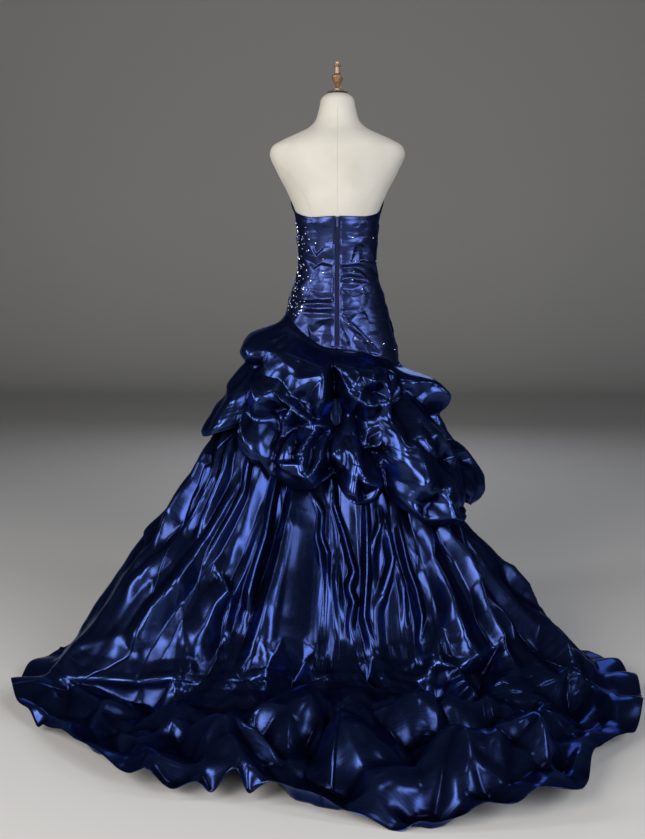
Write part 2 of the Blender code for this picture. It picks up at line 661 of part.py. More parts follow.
def object_from(name, shape, collection):
    """A bmesh as an object."""
    mesh = bpy.data.meshes.new(name)
    shape.to_mesh(mesh)
    shape.free()
    made = bpy.data.objects.new(name, mesh)
    collection.objects.link(made)
    return made


def combine(target, other, operation):
    """Joins or cuts an object with another through a Boolean modifier, and hides the other."""
    cut = target.modifiers.new(operation.lower(), "BOOLEAN")
    cut.operation = operation
    cut.object = other
    cut.solver = "EXACT"
    other.hide_render = True
    other.display_type = "WIRE"


def make_slider(collection, cutters):
    """The zip's slider with two ears and a pin, and the pull that swings on the pin."""
    top = float(around(TOP_EDGE, "height", 0)) - SLIDER_BELOW_EDGE
    middle = top - SLIDER_HEIGHT / 2
    face = max(float(form_point(0.0, h, EASE + ZIP_THICKNESS)[1]) for h in (top, top - SLIDER_HEIGHT)) + SEAM_GAP
    body = object_from(
        "zip_slider",
        box_mesh((SLIDER_WIDTH, SLIDER_THICKNESS, SLIDER_HEIGHT), (0.0, face + SLIDER_THICKNESS / 2, middle)),
        collection,
    )
    body.data.materials.append(material(SLIDER_METAL))
    outside = face + SLIDER_THICKNESS
    pin_y = outside + EAR_REACH - 2 * PIN_RADIUS
    ear_gap = PULL_WIDTH + 2 * SEAM_GAP
    for side in (-1, 1):
        centre = (side * (ear_gap + EAR_WIDTH) / 2, outside + EAR_REACH / 2 - 0.0005, middle)
        ear = object_from(f"ear_{side}", box_mesh((EAR_WIDTH, EAR_REACH + 0.001, EAR_HEIGHT), centre), cutters)
        combine(body, ear, "UNION")
    pin = object_from("pin", rod_mesh(PIN_RADIUS, ear_gap + EAR_WIDTH, (0.0, pin_y, middle), 12), cutters)
    combine(body, pin, "UNION")
    tip = middle - PULL_LENGTH
    shape = box_mesh((PULL_WIDTH, PULL_THICKNESS, PULL_LENGTH + 0.002), (0.0, 0.0, (0.002 - PULL_LENGTH) / 2))
    for vert in shape.verts:
        if vert.co.z < 0:
            vert.co.x *= PULL_TIP_WIDTH / PULL_WIDTH
    pull = object_from("zip_pull", shape, collection)
    pull.location = (0.0, pin_y, middle)
    pull.data.materials.append(material(SLIDER_METAL))
    boss = object_from("boss", rod_mesh(0.0016, PULL_WIDTH, (0.0, pin_y, middle), 16), cutters)
    combine(pull, boss, "UNION")
    eye = object_from("eye", rod_mesh(EYE_RADIUS, 3 * PULL_WIDTH, (0.0, pin_y, middle), 16), cutters)
    combine(pull, eye, "DIFFERENCE")
    print("pull pivot", [0.0, round(pin_y, 5), round(middle, 5)], "pull tip height", round(tip, 5))


def new_collection(name):
    """A collection in the scene."""
    made = bpy.data.collections.new(name)
    bpy.context.scene.collection.children.link(made)
    return made


def main():
    """Clears the scene and makes the dress and its form."""
    for old in list(bpy.data.objects):
        bpy.data.objects.remove(old)
    dress = new_collection("prom_dress")
    cutters = new_collection("cutters")
    make_form(dress)
    make_stand(dress)
    make_bodice(dress)
    make_zip_strip(dress)
    make_slider(dress, cutters)
    make_overskirt(dress)
    make_skirt(dress)


main()
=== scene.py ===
# %% [markdown]
# # A taffeta prom dress on a dress form
#
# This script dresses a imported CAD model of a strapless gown. The model gives every piece its place
# and size. Here the cloth gets its fine folds and creases, and each surface gets the finish of the
# real material: crisp blue taffeta, a linen-covered form, turned walnut, and painted steel.

import math
import random
from collections import namedtuple

import bpy
import numpy as np
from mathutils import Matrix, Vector, noise
from mathutils.bvhtree import BVHTree
from mathutils.geometry import delaunay_2d_cdt


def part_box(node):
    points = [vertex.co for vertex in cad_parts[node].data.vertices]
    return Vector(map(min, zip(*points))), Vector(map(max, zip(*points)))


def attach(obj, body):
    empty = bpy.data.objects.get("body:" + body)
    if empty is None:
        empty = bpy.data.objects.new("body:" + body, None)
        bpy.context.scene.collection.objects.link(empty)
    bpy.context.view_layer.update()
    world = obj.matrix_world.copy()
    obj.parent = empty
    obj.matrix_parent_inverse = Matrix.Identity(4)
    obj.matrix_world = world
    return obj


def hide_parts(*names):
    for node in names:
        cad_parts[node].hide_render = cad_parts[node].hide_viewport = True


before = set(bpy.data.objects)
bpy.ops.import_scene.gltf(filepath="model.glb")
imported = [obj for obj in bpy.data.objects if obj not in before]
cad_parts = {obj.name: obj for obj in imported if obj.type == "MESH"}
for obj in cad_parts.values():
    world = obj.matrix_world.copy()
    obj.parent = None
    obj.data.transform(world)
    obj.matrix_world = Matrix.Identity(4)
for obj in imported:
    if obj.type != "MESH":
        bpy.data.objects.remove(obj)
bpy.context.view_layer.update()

# %% [markdown]
# ## Colours and shader nodes
#
# Colours are picked as sRGB hex values, as on a fabric swatch card. Blender's shaders work in linear
# light, so one function converts them. Another adds a shader node with its settings and its links,
# which keeps each material short enough to read in one go.

# %% Colour and node helpers
def linear(code):
    """An sRGB hex colour as linear light."""
    parts = [int(code.lstrip("#")[i:i + 2], 16) / 255 for i in (0, 2, 4)]
    return tuple(c / 12.92 if c <= 0.04045 else ((c + 0.055) / 1.055) ** 2.4 for c in parts) + (1.0,)


def new_material(name, **values):
    """A material with those values in its Principled shader, and three functions that add nodes to it."""
    made = bpy.data.materials.new(name)
    made.use_nodes = True
    tree = made.node_tree
    shader = tree.nodes["Principled BSDF"]
    for label, value in values.items():
        shader.inputs[label.replace("_", " ")].default_value = value

    def node(kind, settings=None, **inputs):
        """Adds a node. Settings are its own options, and an input is a value or another node's output."""
        added = tree.nodes.new("ShaderNode" + kind)
        for option, value in (settings or {}).items():
            setattr(added, option, value)
        for label, value in inputs.items():
            socket = added.inputs[int(label[1:]) if label[1:].isdigit() else label.replace("_", " ")]
            if isinstance(value, bpy.types.NodeSocket):
                tree.links.new(value, socket)
            else:
                socket.default_value = value
        return added

    def wire(output, label):
        """Links an output to one of the shader's sockets."""
        tree.links.new(output, shader.inputs[label])

    def two_tone(factor, dark, light, low=0.0, high=1.0):
        """Colours the surface from dark to light as the factor goes from low to high."""
        ramp = node("ValToRGB", Fac=factor)
        for end, place, tone in zip(ramp.color_ramp.elements, (low, high), (dark, light)):
            end.position, end.color = place, linear(tone)
        wire(ramp.outputs["Color"], "Base Color")

    return made, node, wire, two_tone


def table(fields, rows):
    """Rows of numbers under the names of their columns."""
    row_type = namedtuple("Row", fields)
    return [row_type(*row) for row in rows]


print("royal blue in linear light", [round(c, 4) for c in linear("#1f2f8f")[:3]])

# %% [markdown]
# ## Camera, floor and light
#
# The gown was photographed from behind, from about chest height and a few metres away, with the lens
# tipped down a little. Two large soft boxes beside the camera make the long bright streaks that show
# taffeta's folds, and weaker ones above, beside and in front light its edges. The floor is plain.

# %% The camera
CAMERA_AT = Vector((0.0, 3.6, 1.167))
CAMERA_PITCH = math.radians(8.05)
CAMERA_YAW = math.radians(0.65)
FOCAL_PIXELS = 1284.5
PHOTO_HEIGHT = 839

eye = bpy.data.objects.new("camera", bpy.data.cameras.new("camera"))
bpy.context.scene.collection.objects.link(eye)
eye.location = CAMERA_AT
eye.rotation_euler = (math.pi / 2 - CAMERA_PITCH, 0.0, math.pi + CAMERA_YAW)
eye.data.sensor_fit = "VERTICAL"
eye.data.sensor_height = 24.0
eye.data.lens = eye.data.sensor_height * FOCAL_PIXELS / PHOTO_HEIGHT
eye.data.clip_end = 50.0
bpy.context.scene.camera = eye
bpy.context.scene.view_settings.view_transform = "Standard"
print("lens", round(eye.data.lens, 2), "mm")

# %% The floor and backdrop
def made_object(name, mesh, look=None):
    """A mesh as an object in the scene."""
    made = bpy.data.objects.new(name, mesh)
    bpy.context.scene.collection.objects.link(made)
    if look:
        mesh.materials.append(look)
    return made


PAPER_REACH, PAPER_HEIGHT = 30.0, 14.0
BEND_AT, BEND = -6.0, 1.5  # where the paper starts to sweep up from the floor, and how wide its curve is
turns = np.linspace(0, math.pi / 2, 12)
profile = [(PAPER_REACH, 0.0)] + [(BEND_AT - BEND * math.sin(a), BEND - BEND * math.cos(a)) for a in turns]
profile.append((BEND_AT - BEND, PAPER_HEIGHT))
floor_mesh = bpy.data.meshes.new("studio_floor")
floor_mesh.from_pydata([(x, y, z) for y, z in profile for x in (-PAPER_REACH, PAPER_REACH)], [],
                       [(2 * i, 2 * i + 1, 2 * i + 3, 2 * i + 2) for i in range(len(profile) - 1)])
paper = new_material("seamless_paper_matt", Base_Color=linear("#b4b3b1"), Roughness=0.9, Specular_IOR_Level=0.2)
floor = made_object("studio_floor", floor_mesh, paper[0])
floor_mesh.shade_smooth()

# %% The lights
Softbox = namedtuple("Softbox", "name x y z wide high watts tone")
SOFTBOXES = [
    Softbox("box_key", 1.85, 3.9, 1.9, 1.7, 2.1, 165, "#fffaf4"),
    Softbox("box_fill", -2.0, 3.7, 1.8, 1.5, 1.9, 120, "#f4f7ff"),
    Softbox("box_top", -1.2, 1.5, 4.2, 1.0, 0.6, 12, "#ffffff"),
    Softbox("box_left", 3.3, 1.6, 2.0, 0.7, 1.6, 55, "#ffffff"),
    Softbox("box_right", -3.1, 1.9, 2.3, 0.5, 1.4, 25, "#ffffff"),
    Softbox("box_behind", -0.2, -3.6, 2.2, 1.8, 1.5, 26, "#eef2ff"),
]
LOOK_AT = Vector((0.0, 0.1, 0.65))
for box in SOFTBOXES:
    lamp = bpy.data.lights.new(box.name, "AREA")
    lamp.shape = "RECTANGLE"
    lamp.size = box.wide
    lamp.size_y = box.high
    lamp.energy = box.watts
    lamp.color = linear(box.tone)[:3]
    lamp_object = bpy.data.objects.new(box.name, lamp)
    lamp_object.location = (box.x, box.y, box.z)
    lamp_object.rotation_euler = (LOOK_AT - lamp_object.location).to_track_quat("-Z", "Y").to_euler()
    bpy.context.scene.collection.objects.link(lamp_object)

world = bpy.data.worlds.new("studio")
bpy.context.scene.world = world
world.use_nodes = True
world.node_tree.nodes["Background"].inputs["Color"].default_value = linear("#d8dde6")
world.node_tree.nodes["Background"].inputs["Strength"].default_value = 0.06
print("softboxes", len(SOFTBOXES), "watts", sum(box.watts for box in SOFTBOXES))

# %% [markdown]
# ## The garment's sizes
#
# These are the sizes that the CAD solids were made from: the form level by level, the lines of the
# seams, how far the skirt reaches, its folds, the train's heaps, and the overskirt's puffs. The fine
# cloth follows them, so it lies exactly on its solid.

# %% Sizes and tables
# Driving sizes, in metres
CLOTH = 0.002
SEAM_GAP = 0.0003
HIP_GAP = 0.0012
EASE = 0.0014
FORM_BOTTOM = 0.80
NECK_TOP = 1.561

# The dress form, level by level
FORM_LEVELS = table("height half_width back front shift", [
    (0.8, 0.17, 0.112, 0.096, 0.004), (0.85, 0.166, 0.116, 0.1, 0.004), (0.91, 0.152, 0.112, 0.1, 0.003),
    (0.998, 0.1285, 0.092, 0.092, 0.0), (1.1, 0.1035, 0.076, 0.08, 0.0), (1.166, 0.1075, 0.08, 0.088, 0.0),
    (1.224, 0.1125, 0.088, 0.098, 0.0), (1.286, 0.135, 0.094, 0.104, 0.0), (1.348, 0.167, 0.094, 0.09, 0.0),
    (1.396, 0.1855, 0.088, 0.07, 0.0), (1.415, 0.179, 0.083, 0.058, 0.0), (1.433, 0.15, 0.076, 0.05, -0.001),
    (1.45, 0.112, 0.066, 0.046, -0.002), (1.467, 0.078, 0.057, 0.046, -0.004),
    (1.488, 0.059, 0.052, 0.046, -0.006), (1.524, 0.049, 0.047, 0.045, -0.008),
    (1.543, 0.045, 0.043, 0.042, -0.009), (1.555, 0.033, 0.032, 0.031, -0.009),
    (NECK_TOP, 0.018, 0.018, 0.018, -0.009),
])
BUST_HEIGHT = 1.290
BUST_APART = 0.076
BUST_SPREAD = 0.060
BUST_DEPTH = 0.022

# Lines round the garment: angle and height
TOP_EDGE = table("angle height", [
    (-180, 1.324), (-150, 1.342), (-120, 1.295), (-90, 1.249), (-65, 1.232), (-35, 1.225), (0, 1.226),
    (35, 1.223), (65, 1.232), (90, 1.249), (120, 1.295), (150, 1.342), (180, 1.324),
])
HIP_SEAM = table("angle height", [
    (-180, 0.905), (-140, 0.87), (-105, 0.828), (-75, 0.818), (-45, 0.84), (-15, 0.864), (10, 0.872),
    (40, 0.915), (70, 0.955), (110, 0.955), (145, 0.93), (180, 0.905),
])

# The bodice
SIDE_SEAM = 88.0
ZIP_HALF_WIDTH = 0.005
FRONT_EASE = 0.0025

# The long skirt: where it meets the floor, where its hem lies, and how hollow its fall is
SKIRT_REACH = table("angle floor hem hollow", [
    (-180, 0.415, 0.44, 0.4), (-140, 0.44, 0.47, 0.5), (-110, 0.5, 0.56, 0.62), (-85, 0.6, 0.69, 0.75),
    (-60, 0.72, 0.88, 0.75), (-44, 0.66, 1.01, 0.6), (-33, 0.56, 1.06, 0.45), (-22, 0.5, 1.225, 0.35),
    (-10, 0.465, 1.215, 0.3), (0, 0.455, 1.15, 0.3), (10, 0.465, 1.09, 0.3), (20, 0.5, 1.11, 0.3),
    (32, 0.57, 1.05, 0.3), (44, 0.68, 0.99, 0.22), (57, 0.79, 0.965, 0.08), (75, 0.77, 0.85, 0.1),
    (95, 0.62, 0.68, 0.24), (120, 0.5, 0.55, 0.34), (150, 0.43, 0.46, 0.4), (180, 0.415, 0.44, 0.4),
])
# One row for each fold of the long skirt: its crest's angle at the hip and at the hem, and its depth
SKIRT_FOLDS = table("hip hem depth", [
    (-168, -169, 0.036), (-144, -145, 0.04), (-122, -123, 0.04), (-105, -106, 0.04), (-92, -93, 0.038),
    (-80, -81, 0.044), (-70, -69, 0.04), (-60, -58, 0.046), (-51, -48, 0.038), (-42, -38, 0.052),
    (-33, -29, 0.044), (-24, -21, 0.04), (-15, -13, 0.048), (-6, -5, 0.04), (4, 4, 0.046), (13, 12, 0.038),
    (22, 21, 0.048), (31, 30, 0.04), (40, 39, 0.052), (50, 49, 0.04), (61, 60, 0.05), (73, 72, 0.042),
    (86, 86, 0.04), (101, 101, 0.038), (121, 121, 0.04), (144, 144, 0.04), (168, 168, 0.036),
])
DEEPEST_FOLD = max(fold.depth for fold in SKIRT_FOLDS)
FLOOR_BEND = 0.11
# Which valleys between folds are the skirt's seams, counted from the first fold
SKIRT_SEAMS = {"skirt_front": (23.5, 29.5), "skirt_side_right": (2.5, 7.5), "skirt_back_right": (7.5, 13.5),
               "skirt_back_left": (13.5, 19.5), "skirt_side_left": (19.5, 23.5)}
# One row for each heap that the train makes on the floor
TRAIN_HEAPS = table("across behind half_length half_width height turn", [
    (-0.34, 0.96, 0.26, 0.115, 0.105, 48), (-0.22, 0.74, 0.19, 0.085, 0.085, 60),
    (-0.52, 0.68, 0.17, 0.075, 0.065, 35), (-0.05, 0.9, 0.17, 0.1, 0.11, -20),
    (0.1, 0.74, 0.16, 0.085, 0.085, 30), (0.22, 0.92, 0.2, 0.085, 0.09, -35),
    (0.38, 0.72, 0.17, 0.08, 0.075, -55), (0.6, 0.55, 0.17, 0.07, 0.06, -70),
    (-0.1, 1.08, 0.14, 0.06, 0.07, 80), (-0.02, 0.6, 0.12, 0.07, 0.055, 10),
])
HEM_WAVE = 0.022

# One row for each puff that a pick-up makes in the overskirt
PUFFS = table("angle height half_angle half_height bulge", [
    (27, 0.788, 29, 0.12, 0.08), (62, 0.885, 26, 0.062, 0.07), (-22, 0.788, 24, 0.105, 0.064),
    (17, 0.613, 21, 0.1, 0.052), (-13, 0.593, 15, 0.12, 0.046), (-46, 0.6, 25, 0.19, 0.082),
    (-72, 0.765, 25, 0.085, 0.078), (-83, 0.565, 25, 0.14, 0.078), (68, 0.748, 26, 0.115, 0.04),
    (33, 0.655, 15, 0.085, 0.044), (-97, 0.703, 22, 0.085, 0.052), (101, 0.813, 26, 0.11, 0.042),
    (94, 0.7, 22, 0.08, 0.03), (118, 0.648, 24, 0.09, 0.05), (140, 0.803, 25, 0.1, 0.054),
    (151, 0.618, 24, 0.095, 0.05), (178, 0.778, 26, 0.105, 0.054), (-174, 0.588, 25, 0.1, 0.05),
    (-145, 0.748, 26, 0.105, 0.054), (-142, 0.558, 24, 0.105, 0.05), (-120, 0.693, 22, 0.1, 0.05),
    (-112, 0.533, 22, 0.105, 0.052),
])
OVERSKIRT_GAP = 0.0014
OVERSKIRT_CLEAR = 0.006
PUFF_POWER = 0.62

# The zip
ZIP_FOOT = 0.876
print("levels", len(FORM_LEVELS), "folds", len(SKIRT_FOLDS), "heaps", len(TRAIN_HEAPS), "puffs", len(PUFFS))

# %% [markdown]
# ## The garment's surfaces
#
# Each function takes whole arrays of places and gives points on a surface. Angles are degrees round
# the form's axis: 0 is the centre back, and the wearer's left is positive. The skirt is worked out
# plain at first, as a fall from hip to floor that bends into a train, and its folds come on top.

# %% Surfaces
def through(places, values, at):
    """A smooth curve through a table's points that doesn't overshoot them."""
    places, values, at = (np.asarray(v, float) for v in (places, values, at))
    steps = np.diff(places)
    rises = np.diff(values) / steps
    slopes = np.zeros_like(values)
    same_way = rises[:-1] * rises[1:] > 0
    before, after = rises[:-1][same_way], rises[1:][same_way]
    slopes[1:-1][same_way] = 2 * before * after / (before + after)
    i = np.clip(np.searchsorted(places, at, side="right") - 1, 0, len(steps) - 1)
    u = np.clip((at - places[i]) / steps[i], 0, 1)
    return (
        values[i] * (1 + 2 * u) * (1 - u) ** 2
        + values[i + 1] * u**2 * (3 - 2 * u)
        + steps[i] * (slopes[i] * u * (1 - u) ** 2 - slopes[i + 1] * u**2 * (1 - u))
    )


def half_turn(angle):
    """An angle brought between -180 and 180 degrees."""
    return (angle + 180) % 360 - 180


def around(rows, column, angle):
    """A table's column at an angle, smooth all the way round."""
    places = np.array([row.angle for row in rows], float)
    values = np.array([getattr(row, column) for row in rows], float)
    places = np.concatenate([places[:-1] - 360, places, places[1:] + 360])
    values = np.concatenate([values[:-1], values, values[1:]])
    return through(places, values, half_turn(np.asarray(angle, float)))


def ease_in(value, start, end):
    """0 before start, 1 after end, and smooth between them."""
    u = np.clip((value - start) / (end - start), 0, 1)
    return u * u * (3 - 2 * u)


def form_size(column, height):
    """The form's half width, back, front or shift at a height."""
    return through([r.height for r in FORM_LEVELS], [getattr(r, column) for r in FORM_LEVELS], height)


def form_point(angle, height, out=0.0):
    """A point on the form, or out from it by that distance."""
    angle, height = np.broadcast_arrays(np.radians(angle), np.asarray(height, float))
    across, behind = np.sin(angle), np.cos(angle)
    width = form_size("half_width", height)
    depth = np.where(behind > 0, form_size("back", height), form_size("front", height))
    lean_x, lean_y = across / width, behind / depth
    steep = np.hypot(lean_x, lean_y)
    x = width * across + out * lean_x / steep
    y = form_size("shift", height) + depth * behind + out * lean_y / steep
    bust = sum(
        np.exp(-(((x - side * BUST_APART) / BUST_SPREAD) ** 2) - ((height - BUST_HEIGHT) / BUST_SPREAD) ** 2)
        for side in (-1, 1)
    )
    y = y - BUST_DEPTH * bust * np.clip(-behind, 0, 1)
    return np.stack([x, y, height], axis=-1)


def sideways(angle):
    """The level direction out from the form's axis."""
    angle = np.radians(angle)
    return np.stack([np.sin(angle), np.cos(angle), np.zeros_like(angle)], axis=-1)


def skirt_fall(angle, down):
    """The long skirt's plain fall from the hip seam, at 0, to the floor, at 1, with no folds."""
    seam = around(HIP_SEAM, "height", angle)
    hip = form_point(angle, seam, EASE + CLOTH)
    floor = sideways(angle) * around(SKIRT_REACH, "floor", angle)[..., None]
    hollow = around(SKIRT_REACH, "hollow", angle)
    out = ((1 - hollow) * down + hollow * down**2)[..., None]
    point = hip + (floor - hip) * out
    point[..., 2] = seam * (1 - down)
    return point


def skirt_lengths(angle):
    """How long the skirt's hanging part is, and the part that lies on the floor."""
    floor = around(SKIRT_REACH, "floor", angle)
    seam = around(HIP_SEAM, "height", angle)
    drop = np.hypot(seam, floor - np.linalg.norm(form_point(angle, seam)[..., :2], axis=-1))
    return drop, around(SKIRT_REACH, "hem", angle) - floor


def skirt_drop_share(angle):
    """The share of the skirt's length that hangs clear of the floor."""
    drop, train = skirt_lengths(angle)
    return drop / (drop + train)


def skirt_plain(angle, length):
    """A point of the long skirt without folds. Length runs from 0, at the hip seam, to 1, at the hem."""
    drop, train = skirt_lengths(angle)
    whole = drop + train

    def sharp(run):
        hanging = skirt_fall(angle, np.clip(run / drop, 0, 1))
        return hanging + sideways(angle) * np.clip(run - drop, 0, None)[..., None]

    run = length * whole
    bend = np.minimum(np.minimum(run, whole - run), 1.9 * FLOOR_BEND)
    steps = np.linspace(-0.9, 0.9, 9)
    shares = (1 - np.abs(steps)) / np.sum(1 - np.abs(steps))
    return sum(share * sharp(run + bend * step) for step, share in zip(steps, shares))


def fold_depth_share(length, drop_share):
    """How much of its depth a fold has, down the hanging cloth and out along the train."""
    hanging = ease_in(length / drop_share, 0.0, 0.95)
    lying = 1 - 0.55 * ease_in(length, drop_share, 1.0)
    return hanging * lying


def heaps(x, y):
    """The height of the train's heaps at a place on the floor."""
    height = np.zeros_like(x)
    for heap in TRAIN_HEAPS:
        turn = math.radians(heap.turn)
        along = (x - heap.across) * math.sin(turn) + (y - heap.behind) * math.cos(turn)
        beside = (x - heap.across) * math.cos(turn) - (y - heap.behind) * math.sin(turn)
        inside = np.clip(1 - (along / heap.half_length) ** 2 - (beside / heap.half_width) ** 2, 0, None)
        height = np.maximum(height, heap.height * inside**0.8)
    return height


def skirt_angle(fold, length):
    """The angle of a fold's line at a length down the skirt. Folds count from 0 and go round."""
    turns, fold = np.divmod(fold, len(SKIRT_FOLDS))
    places = np.arange(len(SKIRT_FOLDS) + 1)
    hip = [f.hip for f in SKIRT_FOLDS] + [SKIRT_FOLDS[0].hip + 360]
    hem = [f.hem for f in SKIRT_FOLDS] + [SKIRT_FOLDS[0].hem + 360]
    return np.interp(fold, places, hip) * (1 - length) + np.interp(fold, places, hem) * length + 360 * turns


def puff_out(angle, height):
    """How far the puffs stand out: the fullest puff at each place, so that they meet in creases."""
    out = np.zeros(np.broadcast(angle, height).shape)
    for puff in PUFFS:
        beside = half_turn(angle - puff.angle) / puff.half_angle
        level = (height - puff.height) / puff.half_height
        inside = np.clip(1 - beside**2 - level**2, 0, None)
        out = np.maximum(out, puff.bulge * inside**PUFF_POWER * (1 - 0.25 * level))
    return out


def overskirt_foot(angle):
    """The scalloped lower edge of the overskirt, under its lowest puffs."""
    lowest = np.full(np.shape(angle), 9.0)
    for puff in PUFFS:
        inside = np.clip(1 - (half_turn(angle - puff.angle) / puff.half_angle) ** 2, 0, None)
        bottom = puff.height - puff.half_height * np.sqrt(inside)
        lowest = np.where(inside > 0, np.minimum(lowest, bottom), lowest)
    return lowest


def overskirt_point(angle, down):
    """A point of the overskirt, from its seam at the hip, at 0, to its tucked lower edge, at 1."""
    seam = around(HIP_SEAM, "height", angle)
    height = seam + (overskirt_foot(angle) - seam) * down
    fallen = 1 - height / seam
    drop_share = skirt_drop_share(angle)
    fall = skirt_fall(angle, fallen)
    further = skirt_fall(angle, fallen + 0.01)
    lean = np.linalg.norm(further - fall, axis=-1) / (fall[..., 2] - further[..., 2])
    over_folds = OVERSKIRT_CLEAR * ease_in(fallen, 0.0, 0.05)
    over_folds += DEEPEST_FOLD * fold_depth_share(fallen * drop_share, drop_share)
    room = OVERSKIRT_GAP + CLOTH + over_folds * lean
    puffed = puff_out(angle, height) * ease_in(fallen, 0.0, 0.05)
    point = fall + sideways(angle) * (room + puffed)[..., None]
    point[..., 2] = height - SEAM_GAP
    return point


def grid_normals(points, closed):
    """The outward direction at each point of a grid, from its neighbours."""
    if closed:
        beside = np.roll(points, -1, axis=1) - np.roll(points, 1, axis=1)
    else:
        beside = np.gradient(points, axis=1)
    normals = np.cross(np.gradient(points, axis=0), beside)
    normals /= np.linalg.norm(normals, axis=-1, keepdims=True)
    outside = np.sum(normals[0] * (points[0] - points[0].mean(axis=0)))
    return normals if outside > 0 else -normals


def bodice_heights(angle, rows):
    """Heights from the bodice's top edge down to its hip seam."""
    top = around(TOP_EDGE, "height", angle)
    seam = around(HIP_SEAM, "height", angle) + HIP_GAP
    return top + (seam - top) * rows

# %% [markdown]
# ## From grids to cloth
#
# Each piece of cloth starts as a grid of points, rows down the garment and columns round it. The
# grid becomes a thin closed shell, so the cloth has a real edge at its hem and looks right from
# inside. Its UV map is laid out in metres along the warp and the weft, for the weave. A crest value
# marks what stands out from the cloth about it. The taffeta uses it for painted shade in the
# hollows, because light hardly reaches them, and for a painted highlight on the crests.

# %% Cloth shells
SHELL = 0.0009
# How far out a point must stand for the full painted highlight of the crest value, and how much the cloth is
# softened to find it
PAINTED_LIGHT_REACH, PAINTED_LIGHT_SOFTENING = 0.006, 14


def soften(values, times, closed):
    """A grid of values or points, each nudged towards the mean of its neighbours."""
    flat = ((0, 0),) * (values.ndim - 2)
    for _ in range(times):
        if closed:
            beside = (np.roll(values, 1, axis=1) + np.roll(values, -1, axis=1)) / 2
        else:
            padded = np.pad(values, ((0, 0), (1, 1)) + flat, mode="edge")
            beside = (padded[:, :-2] + padded[:, 2:]) / 2
        padded = np.pad(values, ((1, 1), (0, 0)) + flat, mode="edge")
        above = (padded[:-2] + padded[2:]) / 2
        values = 0.5 * values + 0.25 * beside + 0.25 * above
    return values


def shell_mesh(name, outer, closed, warp_step, weft_step):
    """A thin closed shell on a grid of points. A closed grid joins its last column to its first."""
    rows, columns = outer.shape[:2]
    normals = grid_normals(outer, closed)
    far = rows * columns
    wide = columns if closed else columns - 1
    r, c = np.meshgrid(np.arange(rows - 1), np.arange(wide), indexing="ij")
    a, b = r * columns + c, r * columns + (c + 1) % columns
    front = np.stack([a, b, b + columns, a + columns], axis=-1).reshape(-1, 4)
    corners = [np.stack([c + across, r + down], -1) for across, down in ((0, 0), (1, 0), (1, 1), (0, 1))]
    corners = np.stack(corners, axis=-2).reshape(-1, 4, 2)
    faces, places = [front, front[:, ::-1] + far], [corners, corners[:, ::-1]]
    grid = np.arange(far).reshape(rows, columns)
    if closed:
        loops = [np.append(grid[0], grid[0, 0])[::-1], np.append(grid[-1], grid[-1, 0])]
    else:
        loops = [np.concatenate([grid[0], grid[1:, -1], grid[-1, -2::-1], grid[-2::-1, 0]])[::-1]]
    for loop in loops:
        a, b = loop[:-1], loop[1:]
        faces.append(np.stack([a, b, b + far, a + far], axis=-1))
        spots = np.stack([loop % columns, loop // columns], axis=-1)
        places.append(np.stack([spots[:-1], spots[1:], spots[1:], spots[:-1]], axis=1))
    faces, places = np.concatenate(faces), np.concatenate(places)
    points = np.concatenate([outer.reshape(-1, 3), (outer - SHELL * normals).reshape(-1, 3)])
    mesh = bpy.data.meshes.new(name)
    mesh.from_pydata(points.tolist(), [], faces.tolist())
    layer = mesh.uv_layers.new(name="cloth")
    layer.data.foreach_set("uv", (places * (weft_step, warp_step)).astype(np.float32).ravel())
    mesh.shade_smooth()
    # The crest value, for painted light: how far each point stands out from a softened copy of its cloth, from
    # 0 in the hollows, which the taffeta paints as shade, to 1 on the crests, which it paints as a highlight
    stand_out = np.sum((outer - soften(outer, PAINTED_LIGHT_SOFTENING, closed)) * normals, axis=-1)
    crest = np.tile(np.clip(0.5 + 0.5 * stand_out / PAINTED_LIGHT_REACH, 0, 1).ravel(), 2)
    mesh.attributes.new("crest", "FLOAT", "POINT").data.foreach_set("value", crest.astype(np.float32))
    return mesh


def cloth_piece(name, grid, look, warp_step, weft_step, closed=False):
    """A piece of cloth on a grid of points, in its material."""
    return made_object(name, shell_mesh(name, grid, closed, warp_step, weft_step), look)


def noise_at(x, y, z):
    """Blender's smooth noise, from -1 to 1, at arrays of places."""
    x, y, z = np.broadcast_arrays(x, y, z)
    flat = [noise.noise(Vector(p)) for p in zip(x.ravel().tolist(), y.ravel().tolist(), z.ravel().tolist())]
    return np.array(flat).reshape(x.shape)

# %% [markdown]
# ## Creases as flat facets
#
# Crisp cloth crumples like thin paper: nearly flat facets that meet in sharp creases. To make such
# relief, random points get random heights, a Delaunay triangulation joins them into flat facets,
# and a ray cast at each place on the cloth reads the height there.

# %% Faceted relief
ROW_STEP, JITTER = 0.866, 0.38  # the random points stand near the corners of even triangles


def height_on(tree, x, y, above):
    """The height of a faceted surface at each place, from rays cast straight down on it."""
    x, y = np.broadcast_arrays(x, y)
    starts = [Vector((a, b, above)) for a, b in zip(x.ravel().tolist(), y.ravel().tolist())]
    hits = [tree.ray_cast(start, Vector((0, 0, -1)))[0] for start in starts]
    return np.array([hit.z if hit else 0.0 for hit in hits]).reshape(x.shape)


def facets(across, down, size, seed):
    """Relief from -0.5 to 0.5, as flat facets about that size that meet in creases."""
    chance = random.Random(seed)
    low_x, low_y = float(across.min()) - 2 * size, float(down.min()) - 2 * size
    wide = int((float(across.max()) - low_x) / size) + 3
    tall = int((float(down.max()) - low_y) / (ROW_STEP * size)) + 3
    spots = [
        (low_x + (i + 0.5 * (j % 2) + chance.uniform(-JITTER, JITTER)) * size,
         low_y + (j + chance.uniform(-JITTER, JITTER)) * ROW_STEP * size,
         chance.uniform(-0.5, 0.5))
        for j in range(tall)
        for i in range(wide)
    ]
    joined = delaunay_2d_cdt([Vector(s[:2]) for s in spots], [], [], 0, 1e-7)
    source = [group[0] for group in joined[3]]
    tree = BVHTree.FromPolygons([(p[0], p[1], spots[k][2]) for p, k in zip(joined[0], source)], joined[2])
    return height_on(tree, across, down, 2)


